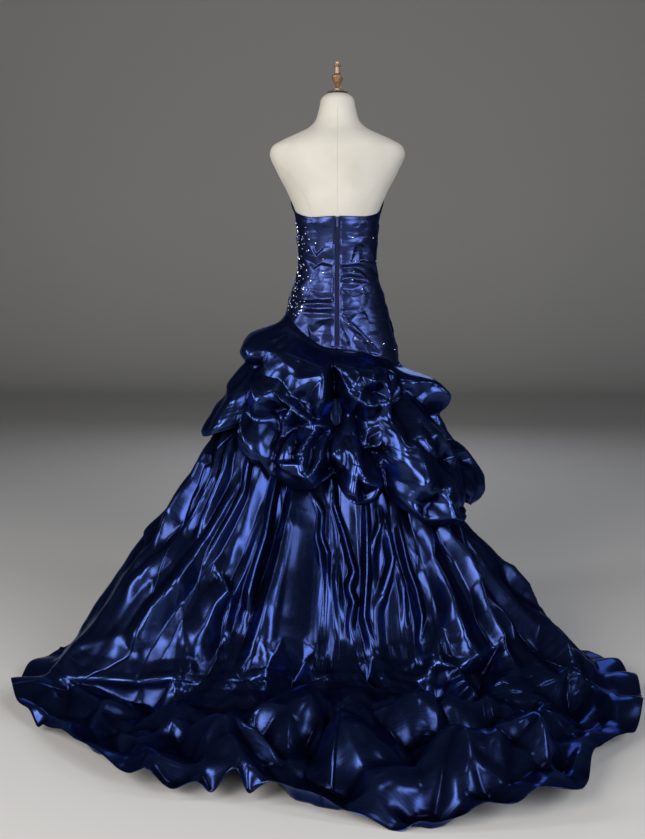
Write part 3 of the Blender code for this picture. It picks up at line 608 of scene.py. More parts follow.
def crease_relief(creases, edge, across, down, wide, tall):
    """Relief in metres from rows of crease points in millimetres, with flat facets between the creases."""
    spots, lines = [], []
    for row in creases:
        for n, spot in enumerate(row):
            if spot not in spots:
                spots.append(spot)
            if n:
                lines.append((spots.index(row[n - 1]), spots.index(spot)))
    spots += [(a, b, 0) for a, b in edge]
    flat = [Vector((a * wide, b * tall)) for a, b, _ in spots]
    points, _, triangles, source, _, _ = delaunay_2d_cdt(flat, lines, [], 0, 1e-5)
    rises = []
    for point, group in zip(points, source):
        nearest = sorted(range(len(flat)), key=lambda i: (flat[i] - point).length)[:2]
        rises.append(spots[group[0]][2] if group else sum(spots[i][2] for i in nearest) / 2)
    tree = BVHTree.FromPolygons([(p[0], p[1], r / 1000) for p, r in zip(points, rises)], triangles)
    return height_on(tree, half_turn(across) * wide, down * tall, 1)

# %% [markdown]
# ## Royal blue taffeta
#
# Taffeta is a crisp plain weave of fine twisted yarn. Cross-dyed polyester taffeta shines like
# brushed metal: its highlights take the colour of the yarn, and what doesn't face a light goes almost
# black. So the shader is mostly metallic, with a fairly tight gloss. Its colour is painted from deep
# blue in the hollows, as painted shade, to a lighter blue on the crests, as a painted highlight. The
# weave is drawn as a fine bump, and slubs in the weft streak the gloss a little.

# %% Taffeta
YARN_PITCH = 0.0009  # real taffeta has a yarn every 0.25 mm; drawn coarser so that it shows close up


def taffeta(name, deep, bright, smooth, rough):
    """Woven polyester taffeta: crisp and glossy, with painted shade deep blue in its hollows and a painted
    highlight brighter on its crests.
    """
    made, node, wire, two_tone = new_material(name, Metallic=0.90, Specular_Tint=linear("#a4b3e0"))
    cloth = node("UVMap", {"uv_map": "cloth"}).outputs["UV"]
    place = node("TexCoord").outputs["Object"]
    slub_map = node("Mapping", Vector=cloth, Scale=(18.0, 420.0, 1.0)).outputs["Vector"]
    slub = node("TexNoise", Vector=slub_map, Scale=1.0, Detail=2.0, Roughness=0.6).outputs["Fac"]
    crest = node("Attribute", {"attribute_name": "crest"}).outputs["Fac"]
    slub_and_painted_light = node("Math", {"operation": "MULTIPLY_ADD"}, _0=slub, _1=0.35, _2=crest).outputs[0]
    # Painted shade and highlight: the colour goes from deep in the hollows to bright on the crests, and the
    # weft's real slubs streak it a little
    two_tone(slub_and_painted_light, deep, bright, 0.35, 1.0)
    gloss = node("MapRange", Value=slub, From_Min=0.3, From_Max=0.7, To_Min=smooth, To_Max=rough)
    wire(gloss.outputs["Result"], "Roughness")
    yarns = [
        node("TexWave", {"wave_type": "BANDS", "bands_direction": axis}, Vector=cloth,
             Scale=1 / (YARN_PITCH * 20), Distortion=0.4, Detail=1.0).outputs["Fac"]
        for axis in ("X", "Y")
    ]
    weave = node("Math", {"operation": "MAXIMUM"}, _0=yarns[0], _1=yarns[1]).outputs[0]
    bump = node("Bump", Strength=0.10, Distance=0.0002, Height=weave).outputs["Normal"]
    bend = node("TexNoise", Vector=place, Scale=9.0, Detail=2.0).outputs["Color"]
    bent = node("MixRGB", {"blend_type": "LINEAR_LIGHT"}, Fac=0.06, Color1=place, Color2=bend).outputs["Color"]
    dents = node("TexVoronoi", {"feature": "F1"}, Vector=bent, Scale=15.0).outputs["Distance"]
    bump = node("Bump", Strength=0.045, Distance=0.014, Height=dents, Normal=bump).outputs["Normal"]
    soft = node("TexNoise", Vector=place, Scale=60.0, Detail=3.0, Roughness=0.55).outputs["Fac"]
    bump = node("Bump", Strength=0.12, Distance=0.0012, Height=soft, Normal=bump).outputs["Normal"]
    wire(bump, "Normal")
    return made


# Deep is the colour of the painted shade in the hollows, and bright is that of the painted highlight on the
# crests
skirt_taffeta = taffeta("blue_taffeta_skirt", "#0b1029", "#25335f", 0.17, 0.26)
# The bodice's copy of the same taffeta is painted lighter than the skirt's, as painted light for the light that
# the bodice catches
bodice_taffeta_painted_lighter = taffeta("blue_taffeta_bodice_painted_lighter", "#171f40", "#2f3963", 0.25, 0.34)
print("taffeta yarn pitch", YARN_PITCH * 1000, "mm")

# %% [markdown]
# ## The long skirt
#
# The skirt is cut in five panels and flares from the hip to a wide hem with a train. It hangs in
# long folds that open towards the hem, and what lies on the floor heaps up in crisp billows.
# Taffeta is stiff and light, so its folds have narrow crests with wide flat valleys, and their
# lines kink. The CAD's folds keep their places here, and get that section.
#
# The tables of creases and folds below hold converted numbers. Their points were picked by eye on the
# photograph, and a separate script, which isn't part of this file, turned most of those pixels into
# angles and shares of the skirt's length. The millimetres and the flanks were chosen one by one.

# %% The long skirt
# The train's main creases: angle, share of the skirt's length, and millimetres up
SKIRT_CREASES = [
    [(40.2, 0.6, 10), (40.5, 0.672, 26), (39.5, 0.725, 30), (32.5, 0.79, 20)],
    [(35.2, 0.615, 10), (34.2, 0.687, 30), (29.5, 0.657, 26), (17.5, 0.762, 28), (11.5, 0.753, 24)],
    [(35.5, 0.572, 6), (32.5, 0.607, 18), (26.8, 0.628, 28), (22.8, 0.608, 22), (15.8, 0.7, 26),
     (11.5, 0.753, 24)],
    [(26, 0.542, 6), (21.5, 0.577, 20), (19.5, 0.623, 24)],
    [(19.2, 0.515, 14), (12.5, 0.512, 12), (11, 0.55, 4)],
    [(2.8, 0.462, 6), (7, 0.522, 20), (8.5, 0.552, 24), (6.2, 0.582, 26), (2.2, 0.545, 14)],
    [(6.2, 0.582, 26), (-0.8, 0.54, 30), (-6.2, 0.542, 30), (4.2, 0.597, 20)],
    [(0, 0.473, 14), (-7.2, 0.513, 26), (-11.8, 0.597, 30), (-13.5, 0.593, 22), (-12.2, 0.495, 18),
     (-7.2, 0.46, 10)],
    [(-25, 0.525, 14), (-18, 0.527, 30), (-15.8, 0.663, 22)],
    [(4.8, 0.677, 8), (-3, 0.682, 34), (-7, 0.648, 38), (-12, 0.663, 36), (-16.2, 0.678, 38),
     (-11.5, 0.798, 24), (-8, 0.872, 22), (-5.8, 0.908, 30), (-10.8, 0.893, 30)],
    [(-3, 0.682, 34), (-3, 0.745, 14), (-10.2, 0.717, 22), (-12, 0.663, 36)],
    [(11.5, 0.753, 24), (13.8, 0.805, 36), (14.8, 0.88, 40), (14.2, 0.913, 34), (10.2, 0.983, 34),
     (6.8, 1, 34), (4.8, 1, 26)],
    [(7.8, 0.598, 22), (7.8, 0.717, 28), (7.8, 0.807, 30), (6.5, 0.893, 24)],
    [(-3.2, 0.708, 30), (1.8, 0.74, 34), (3.2, 0.848, 16), (4.2, 0.885, 10)],
    [(-0.5, 0.803, 40), (-1, 0.87, 32), (-3.2, 0.922, 34), (-3.8, 0.97, 34), (-5.5, 0.963, 26)],
    [(-0.5, 0.803, 40), (-3.2, 0.762, 44), (-9.5, 0.738, 30), (-11.5, 0.798, 24)],
    [(25.5, 0.858, 36), (24, 0.938, 40), (22.5, 0.982, 38), (21.2, 1, 30), (19.5, 1, 26), (17.2, 1, 24),
     (15.2, 1, 28), (15.2, 1, 18)],
    [(25.5, 0.858, 36), (19.2, 0.912, 24), (16.8, 0.918, 40), (15.8, 0.972, 36), (10.8, 1, 38), (5.5, 1, 34),
     (2.2, 1, 30), (0, 1, 26)],
    [(8, 0.977, 10), (6.2, 1, 30), (4, 1, 28), (0.5, 1, 30)],
    [(-25, 0.522, 20), (-30.2, 0.585, 34), (-34.2, 0.633, 40), (-28.2, 0.748, 44), (-25.8, 0.81, 44),
     (-25.8, 0.888, 44), (-23.2, 0.96, 40)],
    [(-22.8, 0.555, 24), (-18, 0.692, 30), (-16.2, 0.768, 26)],
    [(-15, 0.793, 24), (-15, 0.87, 34), (-14.8, 0.935, 36), (-17, 0.953, 38), (-18, 0.948, 34),
     (-19.8, 0.862, 10)],
    [(-11.8, 0.92, 14), (-12.2, 0.97, 34), (-14.2, 1, 34), (-15, 0.967, 16), (-19, 1, 40), (-22, 0.988, 38)],
    [(-5.2, 0.987, 12), (-7.8, 1, 28), (-13.2, 1, 26), (-18.2, 1, 30), (-20.8, 1, 28)],
    [(-45.8, 0.647, 16), (-43.5, 0.705, 28), (-35.8, 0.802, 30)],
    [(-56, 0.727, 16), (-53.2, 0.773, 28), (-52.2, 0.815, 34), (-36, 0.833, 24)],
    [(32.2, 0.92, 34), (29.2, 0.903, 34), (22.8, 0.983, 24)],
    [(29, 0.952, 10), (25.8, 0.963, 26), (23.5, 1, 20)],
    [(56.5, 1, 24), (50, 0.998, 34), (45.8, 0.978, 30), (38.5, 0.982, 36), (39, 0.938, 20)],
    [(45, 1, 20), (38, 1, 34), (33, 0.995, 30), (29.2, 0.99, 26)],
    [(67.8, 0.935, 12), (56, 0.87, 28), (43, 0.883, 24)],
    [(-65.5, 0.857, 16), (-52.8, 0.89, 34), (-45.5, 0.947, 32), (-44.8, 0.988, 30)],
    [(-35.5, 0.905, 10), (-34.5, 0.962, 34), (-34.8, 1, 32), (-38.8, 1, 24)],
    [(-26.2, 0.948, 20), (-29.5, 0.977, 34), (-28.8, 1, 24)],
]
SKIRT_HOLLOWS = [
    (13.5, 0.582, -14), (14, 0.838, -4), (10, 0.915, -20), (4.2, 0.948, -26), (0.2, 0.947, -30),
    (-5.2, 0.807, 4), (-25, 0.615, -14), (-18.5, 0.78, -12), (-21.5, 0.887, -6), (-39.8, 0.657, -12),
    (29.8, 0.842, -18), (18.5, 0.998, -6), (13.5, 1, -4), (9.8, 1, -14), (22.2, 0.812, -10), (-9.5, 0.55, -12),
    (-9.2, 0.972, -16), (-30.5, 0.845, -10), (0.5, 0.775, -4), (-6.2, 1, -18), (35.5, 0.868, -10),
    (-32, 0.907, -6), (40.2, 0.79, -8), (46.5, 0.947, -12), (35, 0.935, -14), (45.8, 1, -8),
    (-40.2, 0.908, -12), (-43.5, 0.858, -8),
]
SKIRT_CREASES += [[point] for point in SKIRT_HOLLOWS]
# The hanging cloth's sharp folds: degrees of flank to the left and right, then the crest as above
HANGING_RIDGES = table("left right crest", [
    (9, 2.5, [(67.5, 0.288, 4), (58.8, 0.358, 24), (58.2, 0.426, 30), (58.2, 0.48, 28), (59.8, 0.526, 8)]),
    (1.5, 2, [(59.2, 0.274, 8), (55.2, 0.338, 14), (53.2, 0.372, 16), (53.5, 0.426, 16), (53.5, 0.482, 8)]),
    (1.5, 2.5, [(54.5, 0.274, 8), (53, 0.32, 16), (51.5, 0.35, 18), (51, 0.41, 18), (50.5, 0.454, 18),
     (49.5, 0.49, 6)]),
    (2, 3, [(46, 0.348, 8), (46.5, 0.386, 16), (47, 0.428, 18), (47.8, 0.482, 20), (48.2, 0.526, 22),
     (48.8, 0.574, 24), (49.5, 0.61, 26), (50.2, 0.646, 26), (50.5, 0.706, 16)]),
    (2, 2, [(45.8, 0.268, 10), (44.8, 0.306, 16), (43, 0.354, 18), (43.5, 0.392, 20), (44.5, 0.452, 20),
     (45, 0.488, 18), (45.5, 0.526, 6)]),
    (2, 2, [(34, 0.358, 8), (34.2, 0.408, 16), (34.5, 0.448, 18), (35.2, 0.482, 18), (36, 0.526, 18),
     (35.5, 0.568, 12)]),
    (3.5, 4, [(40.5, 0.506, 6), (37.2, 0.516, 24), (39.2, 0.556, 22), (39.5, 0.6, 18), (40.2, 0.63, 10)]),
    (2, 2, [(54, 0.508, 6), (54.2, 0.552, 11), (55.2, 0.588, 11), (57, 0.64, 5)]),
    (2, 4, [(73.2, 0.556, 4), (70, 0.578, 12), (63.5, 0.59, 4)]),
    (3, 2, [(32.8, 0.248, 8), (32.2, 0.27, 18), (31.8, 0.328, 24), (31, 0.384, 26), (31.8, 0.44, 26),
     (31.8, 0.492, 24), (31.2, 0.516, 6)]),
    (2, 3.5, [(24.8, 0.26, 8), (22.8, 0.318, 20), (24.5, 0.352, 14), (23.8, 0.368, 20), (25.5, 0.394, 22),
     (26.2, 0.452, 20), (26.2, 0.49, 6)]),
    (2.5, 18, [(24, 0.27, 16), (24.3, 0.33, 42), (25.2, 0.4, 52), (26.2, 0.48, 56), (27, 0.55, 46),
     (27, 0.6, 18)]),
    (4.5, 1.5, [(16.2, 0.256, 8), (7.2, 0.29, 20), (7.5, 0.334, 26), (4.5, 0.354, 26), (4.2, 0.386, 6)]),
    (2, 2, [(1, 0.272, 10), (-3.8, 0.31, 18), (-7.8, 0.366, 24), (-5, 0.394, 18), (-7.2, 0.412, 20),
     (-5, 0.448, 8)]),
    (2, 2.5, [(-0.2, 0.364, 6), (0.2, 0.392, 16), (-1.2, 0.45, 6)]),
    (2, 2, [(-15, 0.264, 14), (-13, 0.364, 22), (-10.5, 0.434, 22), (-12, 0.47, 8)]),
    (1.5, 3, [(-20.8, 0.294, 14), (-18.2, 0.31, 14), (-16, 0.338, 4)]),
    (3, 2, [(-24, 0.312, 14), (-24.5, 0.356, 22), (-20, 0.392, 16), (-16.5, 0.424, 4)]),
    (2, 2, [(-29.5, 0.338, 14), (-29.5, 0.4, 20), (-30.5, 0.448, 20), (-30, 0.494, 18), (-27.8, 0.512, 6)]),
    (2, 2, [(-26.2, 0.366, 4), (-26.8, 0.414, 14), (-25, 0.46, 4)]),
    (6, 2, [(-42.8, 0.376, 10), (-39.2, 0.434, 20), (-40, 0.488, 24), (-39.2, 0.548, 26), (-39.2, 0.584, 26),
     (-38.8, 0.62, 12)]),
    (2, 2, [(-59.5, 0.448, 8), (-55, 0.494, 14), (-52.2, 0.524, 4)]),
    (3, 3, [(-54, 0.358, 10), (-49.8, 0.402, 18), (-50.2, 0.474, 24), (-49.8, 0.544, 26), (-47.2, 0.586, 28),
     (-46.8, 0.618, 28), (-46.8, 0.646, 28), (-45, 0.666, 22), (-43.8, 0.716, 12)]),
    (6, 2, [(-67.5, 0.484, 6), (-65.2, 0.53, 18), (-65.2, 0.58, 26), (-67.5, 0.632, 28), (-67.5, 0.684, 26),
     (-64.2, 0.732, 22), (-60.5, 0.752, 20), (-57.5, 0.796, 18), (-53, 0.842, 10)]),
    (2, 2, [(-51.5, 0.594, 6), (-52.2, 0.634, 14), (-52.2, 0.66, 14), (-52.2, 0.682, 5)]),
    (3, 1.5, [(-39.5, 0.582, 5), (-39.5, 0.618, 14), (-39.5, 0.642, 5)]),
    (2, 2, [(-72, 0.7, 6), (-73, 0.76, 14), (-72, 0.82, 14), (-70, 0.86, 5)]),
    (2, 2, [(-78, 0.74, 6), (-79, 0.8, 14), (-77, 0.86, 12), (-76, 0.9, 5)]),
])
RIDGE_GAIN, RIDGE_ROUND, RIDGE_FADE = 1.35, 0.1, 0.03
SKIRT_EDGE = [(-92, 0.45), (-60, 0.40), (0, 0.40), (60, 0.40), (92, 0.45), (92, 1.06), (0, 1.06), (-92, 1.06)]
SKIRT_ARC, SKIRT_DOWN = 0.014, 1.6  # metres of cloth to a degree, and down the whole length
SKIRT_GAIN = 1.6
WANDER, SWAY = 0.9, 0.35  # how far a fold's line kinks and sways, in folds
HEAP_SHARE, HEAP_SOFTENING, HEM_SOFTENING = 0.8, 6, 12
CREST_ROUND, SIDE_CREASE = 0.12, 0.10
CLEAR_OF_FLOOR = 0.0012
CALM_ANGLE, CALM_HALF, CALM_FROM, CALM_TO = 14.5, 10, 0.24, 0.60  # the broad flat left of the middle
# The size and depth of the random facets, on the hanging cloth and on the floor
HANGING_FACETS = ((0.90, 0.020), (0.42, 0.007))
FLOOR_FACETS = ((0.190, 0.044), (0.085, 0.030), (0.045, 0.011))
SKIRT_FINE_ROWS = 205
# Each fold's share of its CAD depth and how sharp its crest is, from the first fold round
CRESTS = table("share sharp", [
    (1.0, 0.6), (0.8, 0.9), (1.1, 0.4), (0.9, 0.8), (1.0, 0.7), (0.9, 0.5), (0.5, 0.1), (0.5, 0.0),
    (0.25, 0.1), (0.3, 0.0), (0.35, 0.1), (0.1, 0.0), (0.35, 0.2), (0.1, 0.0), (0.3, 0.2), (0.05, 0.0),
    (0.1, 0.0), (0.4, 0.1), (0.2, 0.0), (0.1, 0.1), (0.4, 0.0), (0.3, 0.1), (0.8, 0.3), (0.9, 0.8),
    (1.1, 0.5), (0.9, 0.9), (1.1, 0.6),
])
PANEL_COLUMNS = {"skirt_side_right": 92, "skirt_back_right": 194, "skirt_back_left": 194,
                 "skirt_side_left": 92, "skirt_front": 84}


def sharp_crest(fold):
    """A fold's section: 1 at its narrow crest, down to 0 in its wide, soft valley."""
    edge = np.sqrt(np.sin(np.pi * fold) ** 2 + CREST_ROUND**2)
    top = math.sqrt(1 + CREST_ROUND**2)
    return (top - edge) / (top - CREST_ROUND)


def ridge_relief(ridges, angle, length):
    """Relief in metres from sharp folds that run down the cloth, the highest one at each place."""
    total = np.zeros(np.broadcast(angle, length).shape)
    for ridge in ridges:
        places, lengths, rises = zip(*ridge.crest)
        beside = half_turn(angle) - np.interp(length, lengths, places)
        share = np.abs(beside) / np.where(beside > 0, ridge.left, ridge.right)
        flank = np.clip(1 + RIDGE_ROUND - np.hypot(share, RIDGE_ROUND), 0, 1)
        ends = (lengths[0] - RIDGE_FADE, *lengths, lengths[-1] + RIDGE_FADE)
        total = np.maximum(total, np.interp(length, ends, (0, *rises, 0)) / 1000 * flank)
    return total


def fine_skirt(fold, length):
    """The skirt's outside as a fine grid: the CAD's folds with sharp crests, and faceted creases."""
    angle = skirt_angle(fold, length)
    east, north = np.sin(np.radians(angle)), np.cos(np.radians(angle))

    def unrest(often, down, seed=0):
        """Smooth noise over the skirt."""
        return noise_at(often * east, often * north, down * length + seed)

    wander = WANDER * facets(2.4 * east + 4.0 * length, 2.4 * north, 0.95, 11) + SWAY * unrest(2.2, 2.0)
    line = fold + wander * ease_in(length, 0.02, 0.4)
    angle = skirt_angle(line, length)
    plain = skirt_plain(angle, length)
    round_it = skirt_plain(angle + 0.5, length) - skirt_plain(angle - 0.5, length)
    down_it = skirt_plain(angle, np.minimum(length + 0.01, 1))
    down_it = down_it - skirt_plain(angle, np.maximum(length - 0.01, 0))
    out = np.cross(round_it, down_it)
    out /= np.linalg.norm(out, axis=-1, keepdims=True)

    # The hanging folds
    which = np.floor(line + 0.5).astype(int) % len(SKIRT_FOLDS)
    depth = np.array([f.depth * c.share for f, c in zip(SKIRT_FOLDS, CRESTS)])[which]
    depth = depth * (1.0 + 0.5 * unrest(3.1, 1.4, 5))
    drop_share = skirt_drop_share(angle)
    calm = 0.9 * ease_in(CALM_HALF - np.abs(half_turn(angle) - CALM_ANGLE), 0, 4)
    calm = calm * ease_in(length, CALM_FROM, CALM_FROM + 0.06) * ease_in(CALM_TO - length, 0, 0.08)
    depth = depth * (1 - calm) * fold_depth_share(length, drop_share)
    beside = unrest(4.2, 3.4, 11)
    sharpness = np.clip(np.array([c.sharp for c in CRESTS])[which] + 0.5 * beside, 0, 1)
    broad = (0.5 + 0.5 * np.cos(2 * np.pi * line)) ** 0.7
    crest = sharp_crest(line) * sharpness + broad * (1 - sharpness)
    extra = sharp_crest(line * 2 + 0.9 * beside + 0.3) * ease_in(-beside, -0.05, 0.30)
    grid = plain + out * (depth * (crest + SIDE_CREASE * extra))[..., None]

    # The heaps of the train
    on_floor = ease_in(length, drop_share, drop_share + 0.12)
    hem_share = ease_in(length, 0.90, 1.0)
    heaped = soften(heaps(plain[..., 0], plain[..., 1]), HEAP_SOFTENING, True)
    beside_share = 1 - 0.8 * ease_in(np.abs(half_turn(angle)), 20, 60)
    grid[..., 2] += HEAP_SHARE * beside_share * on_floor * heaped * (1 - 0.6 * hem_share)
    grid[..., 2] += on_floor * hem_share * HEM_WAVE * crest * (0.5 + noise_at(2 * east, 2 * north, 3.0))

    # The facets and the creases
    hanging = (1 - on_floor) * ease_in(length, 0.0, 0.2) * (1 - calm)
    far = 1.3 + 7.5 * length
    relief = sum(deep * facets(far * east, far * north, size, 1 + n) * hanging
                 for n, (size, deep) in enumerate(HANGING_FACETS))
    relief = relief + sum(deep * facets(plain[..., 0], plain[..., 1], size, 3 + n) * on_floor
                          for n, (size, deep) in enumerate(FLOOR_FACETS))
    placed = crease_relief(SKIRT_CREASES, SKIRT_EDGE, angle, length, SKIRT_ARC, SKIRT_DOWN)
    relief = relief + SKIRT_GAIN * placed * ease_in(length, 0.42, 0.62)
    relief = soften(relief + RIDGE_GAIN * ridge_relief(HANGING_RIDGES, angle, length), 1, True)
    relief = relief + hem_share * (soften(relief, HEM_SOFTENING, True) - relief)
    grid = grid + out * relief[..., None]
    grid[..., 2] = np.maximum(grid[..., 2], CLEAR_OF_FLOOR)
    return grid


fold_lines = np.concatenate([np.linspace(*SKIRT_SEAMS[name], count, endpoint=False)
                             for name, count in PANEL_COLUMNS.items()])
row_places = np.linspace(0, 1, SKIRT_FINE_ROWS + 1)[:, None] ** 0.9
skirt_grid = fine_skirt(fold_lines[None, :], row_places)
skirt_grid = np.concatenate([skirt_grid, skirt_grid[:, :1]], axis=1)
start = 0
for name, count in PANEL_COLUMNS.items():
    panel_grid = skirt_grid[:, start:start + count + 1][:, ::-1]
    start += count
    panel = cloth_piece(name + "_cloth", panel_grid, skirt_taffeta, 0.008, 0.008)
    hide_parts(name)
    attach(panel, "root")
    print(name, "faces", len(panel.data.polygons))

# %% [markdown]
# ## The pick-up overskirt
#
# A pick-up skirt is caught up by hand stitches, so that it blouses into puffs between them. The
# cloth is crisp, so each puff is a set of nearly flat facets with sharp creases that run together
# at the stitches. Each row below is a crease at the back: points as angle, height in metres, and
# millimetres out. Most of the angles and heights were converted from picked pixels by a separate
# script, as for the skirt. Constrained Delaunay triangles span the flats between the creases.

# %% The overskirt's creases
OVERSKIRT_CREASES = [
    [(51.2, 0.867, 8), (37.5, 0.864, 14), (15.5, 0.851, 18), (7, 0.808, 24), (7, 0.744, 22), (10.2, 0.686, 14),
     (3.8, 0.665, 4)],
    [(48, 0.804, 0), (33.8, 0.765, 6), (23.2, 0.726, 14), (12.2, 0.679, 18), (3.8, 0.665, 4)],
    [(23, 0.797, 6), (17.5, 0.752, -8), (13.2, 0.692, 0)],
    [(34.5, 0.796, -2), (22.5, 0.744, -8), (13.2, 0.692, 0)],
    [(4.5, 0.847, 6), (2.5, 0.786, -24), (3.2, 0.723, -26), (1.8, 0.672, -22), (4.5, 0.62, -16),
     (4.2, 0.565, -18)],
    [(-2.8, 0.848, 16), (-2.5, 0.807, 20), (-6.8, 0.767, 22), (-11, 0.744, 18), (-15.5, 0.728, 14),
     (-24.5, 0.725, 12)],
    [(-17.2, 0.765, -8), (-24.8, 0.759, -6)],
    [(-9.5, 0.832, 12), (-13.8, 0.807, 4), (-20.5, 0.793, 14), (-27.8, 0.794, 15), (-27.2, 0.815, 0),
     (-22, 0.833, 9), (-15, 0.846, -6)],
    [(-24.5, 0.725, 12), (-31.5, 0.741, 9), (-37.5, 0.723, -16)],
    [(-34.2, 0.82, 2), (-52.2, 0.809, 10), (-71, 0.799, 12), (-69.2, 0.774, 16), (-73, 0.746, 24)],
    [(-51.2, 0.781, 14), (-52.5, 0.757, -4), (-58.2, 0.735, -10), (-73, 0.746, 24)],
    [(-58.2, 0.735, -10), (-48.2, 0.708, 10), (-31, 0.618, 17), (-28.5, 0.6, 12)],
    [(-16, 0.711, 8), (-23.8, 0.675, 12), (-24.5, 0.725, 12)],
    [(-12.8, 0.706, -16), (-14.5, 0.616, -14), (-24.2, 0.6, -16)],
    [(-18.5, 0.665, 8), (-29, 0.676, 11), (-24.2, 0.6, -16)],
    [(-20.5, 0.645, -4), (-22, 0.618, 7), (-14.5, 0.616, -14)],
    [(-48.5, 0.651, 22), (-36, 0.626, 14), (-28.5, 0.6, 12), (-35.8, 0.592, 20), (-34.8, 0.538, 24),
     (-28.5, 0.486, 12), (-31, 0.448, 18), (-32.2, 0.441, 12)],
    [(-35.2, 0.65, -4), (-41.8, 0.599, 2), (-39.2, 0.541, 10), (-32.5, 0.484, 14), (-34.8, 0.43, 4)],
    [(-21, 0.578, -12), (-24.8, 0.536, -8), (-27, 0.477, -4)],
    [(-48.5, 0.651, 22), (-74.8, 0.642, 20), (-79.8, 0.605, 14), (-90.2, 0.675, 12), (-73, 0.746, 24)],
    [(-71, 0.619, 2), (-75.2, 0.588, 16)],
    [(-59.2, 0.584, 18), (-76.5, 0.585, 30), (-79, 0.565, 26), (-78, 0.528, 32), (-70.5, 0.499, 18),
     (-52.2, 0.527, 12)],
    [(-59.2, 0.584, 18), (-74.5, 0.556, 10), (-70, 0.53, 22), (-78, 0.528, 32)],
    [(-51, 0.571, -16), (-40.2, 0.514, 10), (-38, 0.481, -8)],
    [(-52.2, 0.527, 12), (-47.2, 0.479, 10), (-42.5, 0.476, 16), (-42.8, 0.443, 24), (-49.2, 0.423, 24),
     (-51.8, 0.437, 26), (-75.2, 0.452, 18)],
    [(-47.5, 0.46, 4), (-52.5, 0.443, 8)],
    [(28, 0.719, -12), (28.2, 0.675, 16), (29.5, 0.631, 6), (24.2, 0.631, 18), (26.2, 0.585, 14)],
    [(19.2, 0.675, -2), (11.8, 0.665, 12), (17, 0.612, 18), (15.2, 0.603, 10)],
    [(26.2, 0.585, 14), (20.2, 0.555, 8), (15.8, 0.585, 12), (26.2, 0.585, 14)],
    [(6.2, 0.66, -14), (7.8, 0.594, 18), (11.5, 0.551, 14), (15.5, 0.558, 14), (10.2, 0.521, 12)],
    [(23.5, 0.666, -8), (19.8, 0.624, -10), (20.2, 0.593, -4)],
    [(12.2, 0.633, -10), (12.8, 0.582, -8)],
    [(-5.8, 0.681, 8), (1.8, 0.604, 16), (-6, 0.619, 16), (-10.5, 0.606, 12)],
    [(1.8, 0.604, 16), (-0.2, 0.561, 4), (-4.8, 0.495, 16), (-8, 0.482, 24), (-8.8, 0.481, 16),
     (-9.5, 0.584, 18), (-10.5, 0.606, 12)],
    [(-4.2, 0.571, 10), (-4.8, 0.495, 20)],
    [(-9.8, 0.65, -8), (-3, 0.642, 8)],
    [(-12.8, 0.604, -8), (-11.5, 0.538, 16), (-19.8, 0.52, 12), (-15.5, 0.479, 10)],
    [(-10.2, 0.532, -14), (-13, 0.499, -6), (-14.8, 0.478, 6)],
    [(57.8, 0.821, 12), (51.5, 0.736, 22), (50, 0.7, 18), (51.8, 0.674, 22), (42.5, 0.644, 16),
     (49, 0.779, -4)],
    [(45.2, 0.78, 12), (39, 0.735, 17), (40.8, 0.681, 14), (37, 0.651, 6)],
    [(34.5, 0.711, -12), (32.2, 0.643, -8), (32.8, 0.586, 0)],
    [(81.5, 0.82, 2), (55.8, 0.736, 8)],
    [(90, 0.81, -14), (84, 0.75, -32), (88, 0.69, -34), (80, 0.62, -14)],
    [(104, 0.8, -14), (104, 0.72, -26), (104, 0.64, -10)],
]
OVERSKIRT_EDGE = [(-112, 0.98), (-112, 0.38), (-60, 0.36), (0, 0.38), (60, 0.46), (118, 0.50), (118, 0.98),
                  (0, 0.96)]
OVERSKIRT_ARC = 0.0055  # metres of cloth to a degree
OVERSKIRT_GAIN = 1.6

# %% The overskirt
OVERSKIRT_FINE = (300, 140)
OVERSKIRT_FACETS = ((0.060, 0.026, 0.110), (0.030, 0.011, 0.055))  # depth, less of it behind, and size
PUFF_SOFTENING = 14


def fine_overskirt():
    """The overskirt's outside as a fine grid: its puffs with the creases from the table and finer facets."""
    columns, rows = OVERSKIRT_FINE
    angle = np.linspace(0, 360, columns, endpoint=False)[None, :]
    down = np.linspace(0, 1, rows + 1)[:, None]
    seam = around(HIP_SEAM, "height", angle)
    height = seam + (overskirt_foot(angle) - seam) * down
    free = ease_in(1 - height / seam, 0.0, 0.05)
    puffs = puff_out(angle, height) * free
    east, north = np.sin(np.radians(angle)), np.cos(np.radians(angle))
    far = 0.25 + (0.96 - height)
    behind = ease_in(north + 0 * height, -0.35, 0.15)
    relief = sum((deep - less * behind) * facets(far * east, far * north, size, 5 + n)
                 for n, (deep, less, size) in enumerate(OVERSKIRT_FACETS))
    placed = crease_relief(OVERSKIRT_CREASES, OVERSKIRT_EDGE, angle, height, OVERSKIRT_ARC, 1.0)
    relief = soften((relief + OVERSKIRT_GAIN * placed) * free, 1, True)
    out = soften(puffs, PUFF_SOFTENING, True) - puffs + relief
    return overskirt_point(angle, down) + sideways(angle + 0 * height) * out[..., None]


overskirt = cloth_piece("overskirt", fine_overskirt(), skirt_taffeta, 0.003, 0.006, closed=True)
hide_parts("overskirt_front", "overskirt_back_left", "overskirt_back_right")
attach(overskirt, "root")
print("overskirt faces", len(overskirt.data.polygons))

# %% [markdown]
# ## The bodice
#
# The strapless bodice is boned, so it stands smooth at the top. Below, its cloth is gathered into
# level folds left of the zip, has a tuck at the waist right of it, and fans down to the hip from
# the zip. The creases at the back are rows of angle, height, and millimetres out, and their places
# were converted from picked pixels too. The front, which is cut in one, has softer gathers.

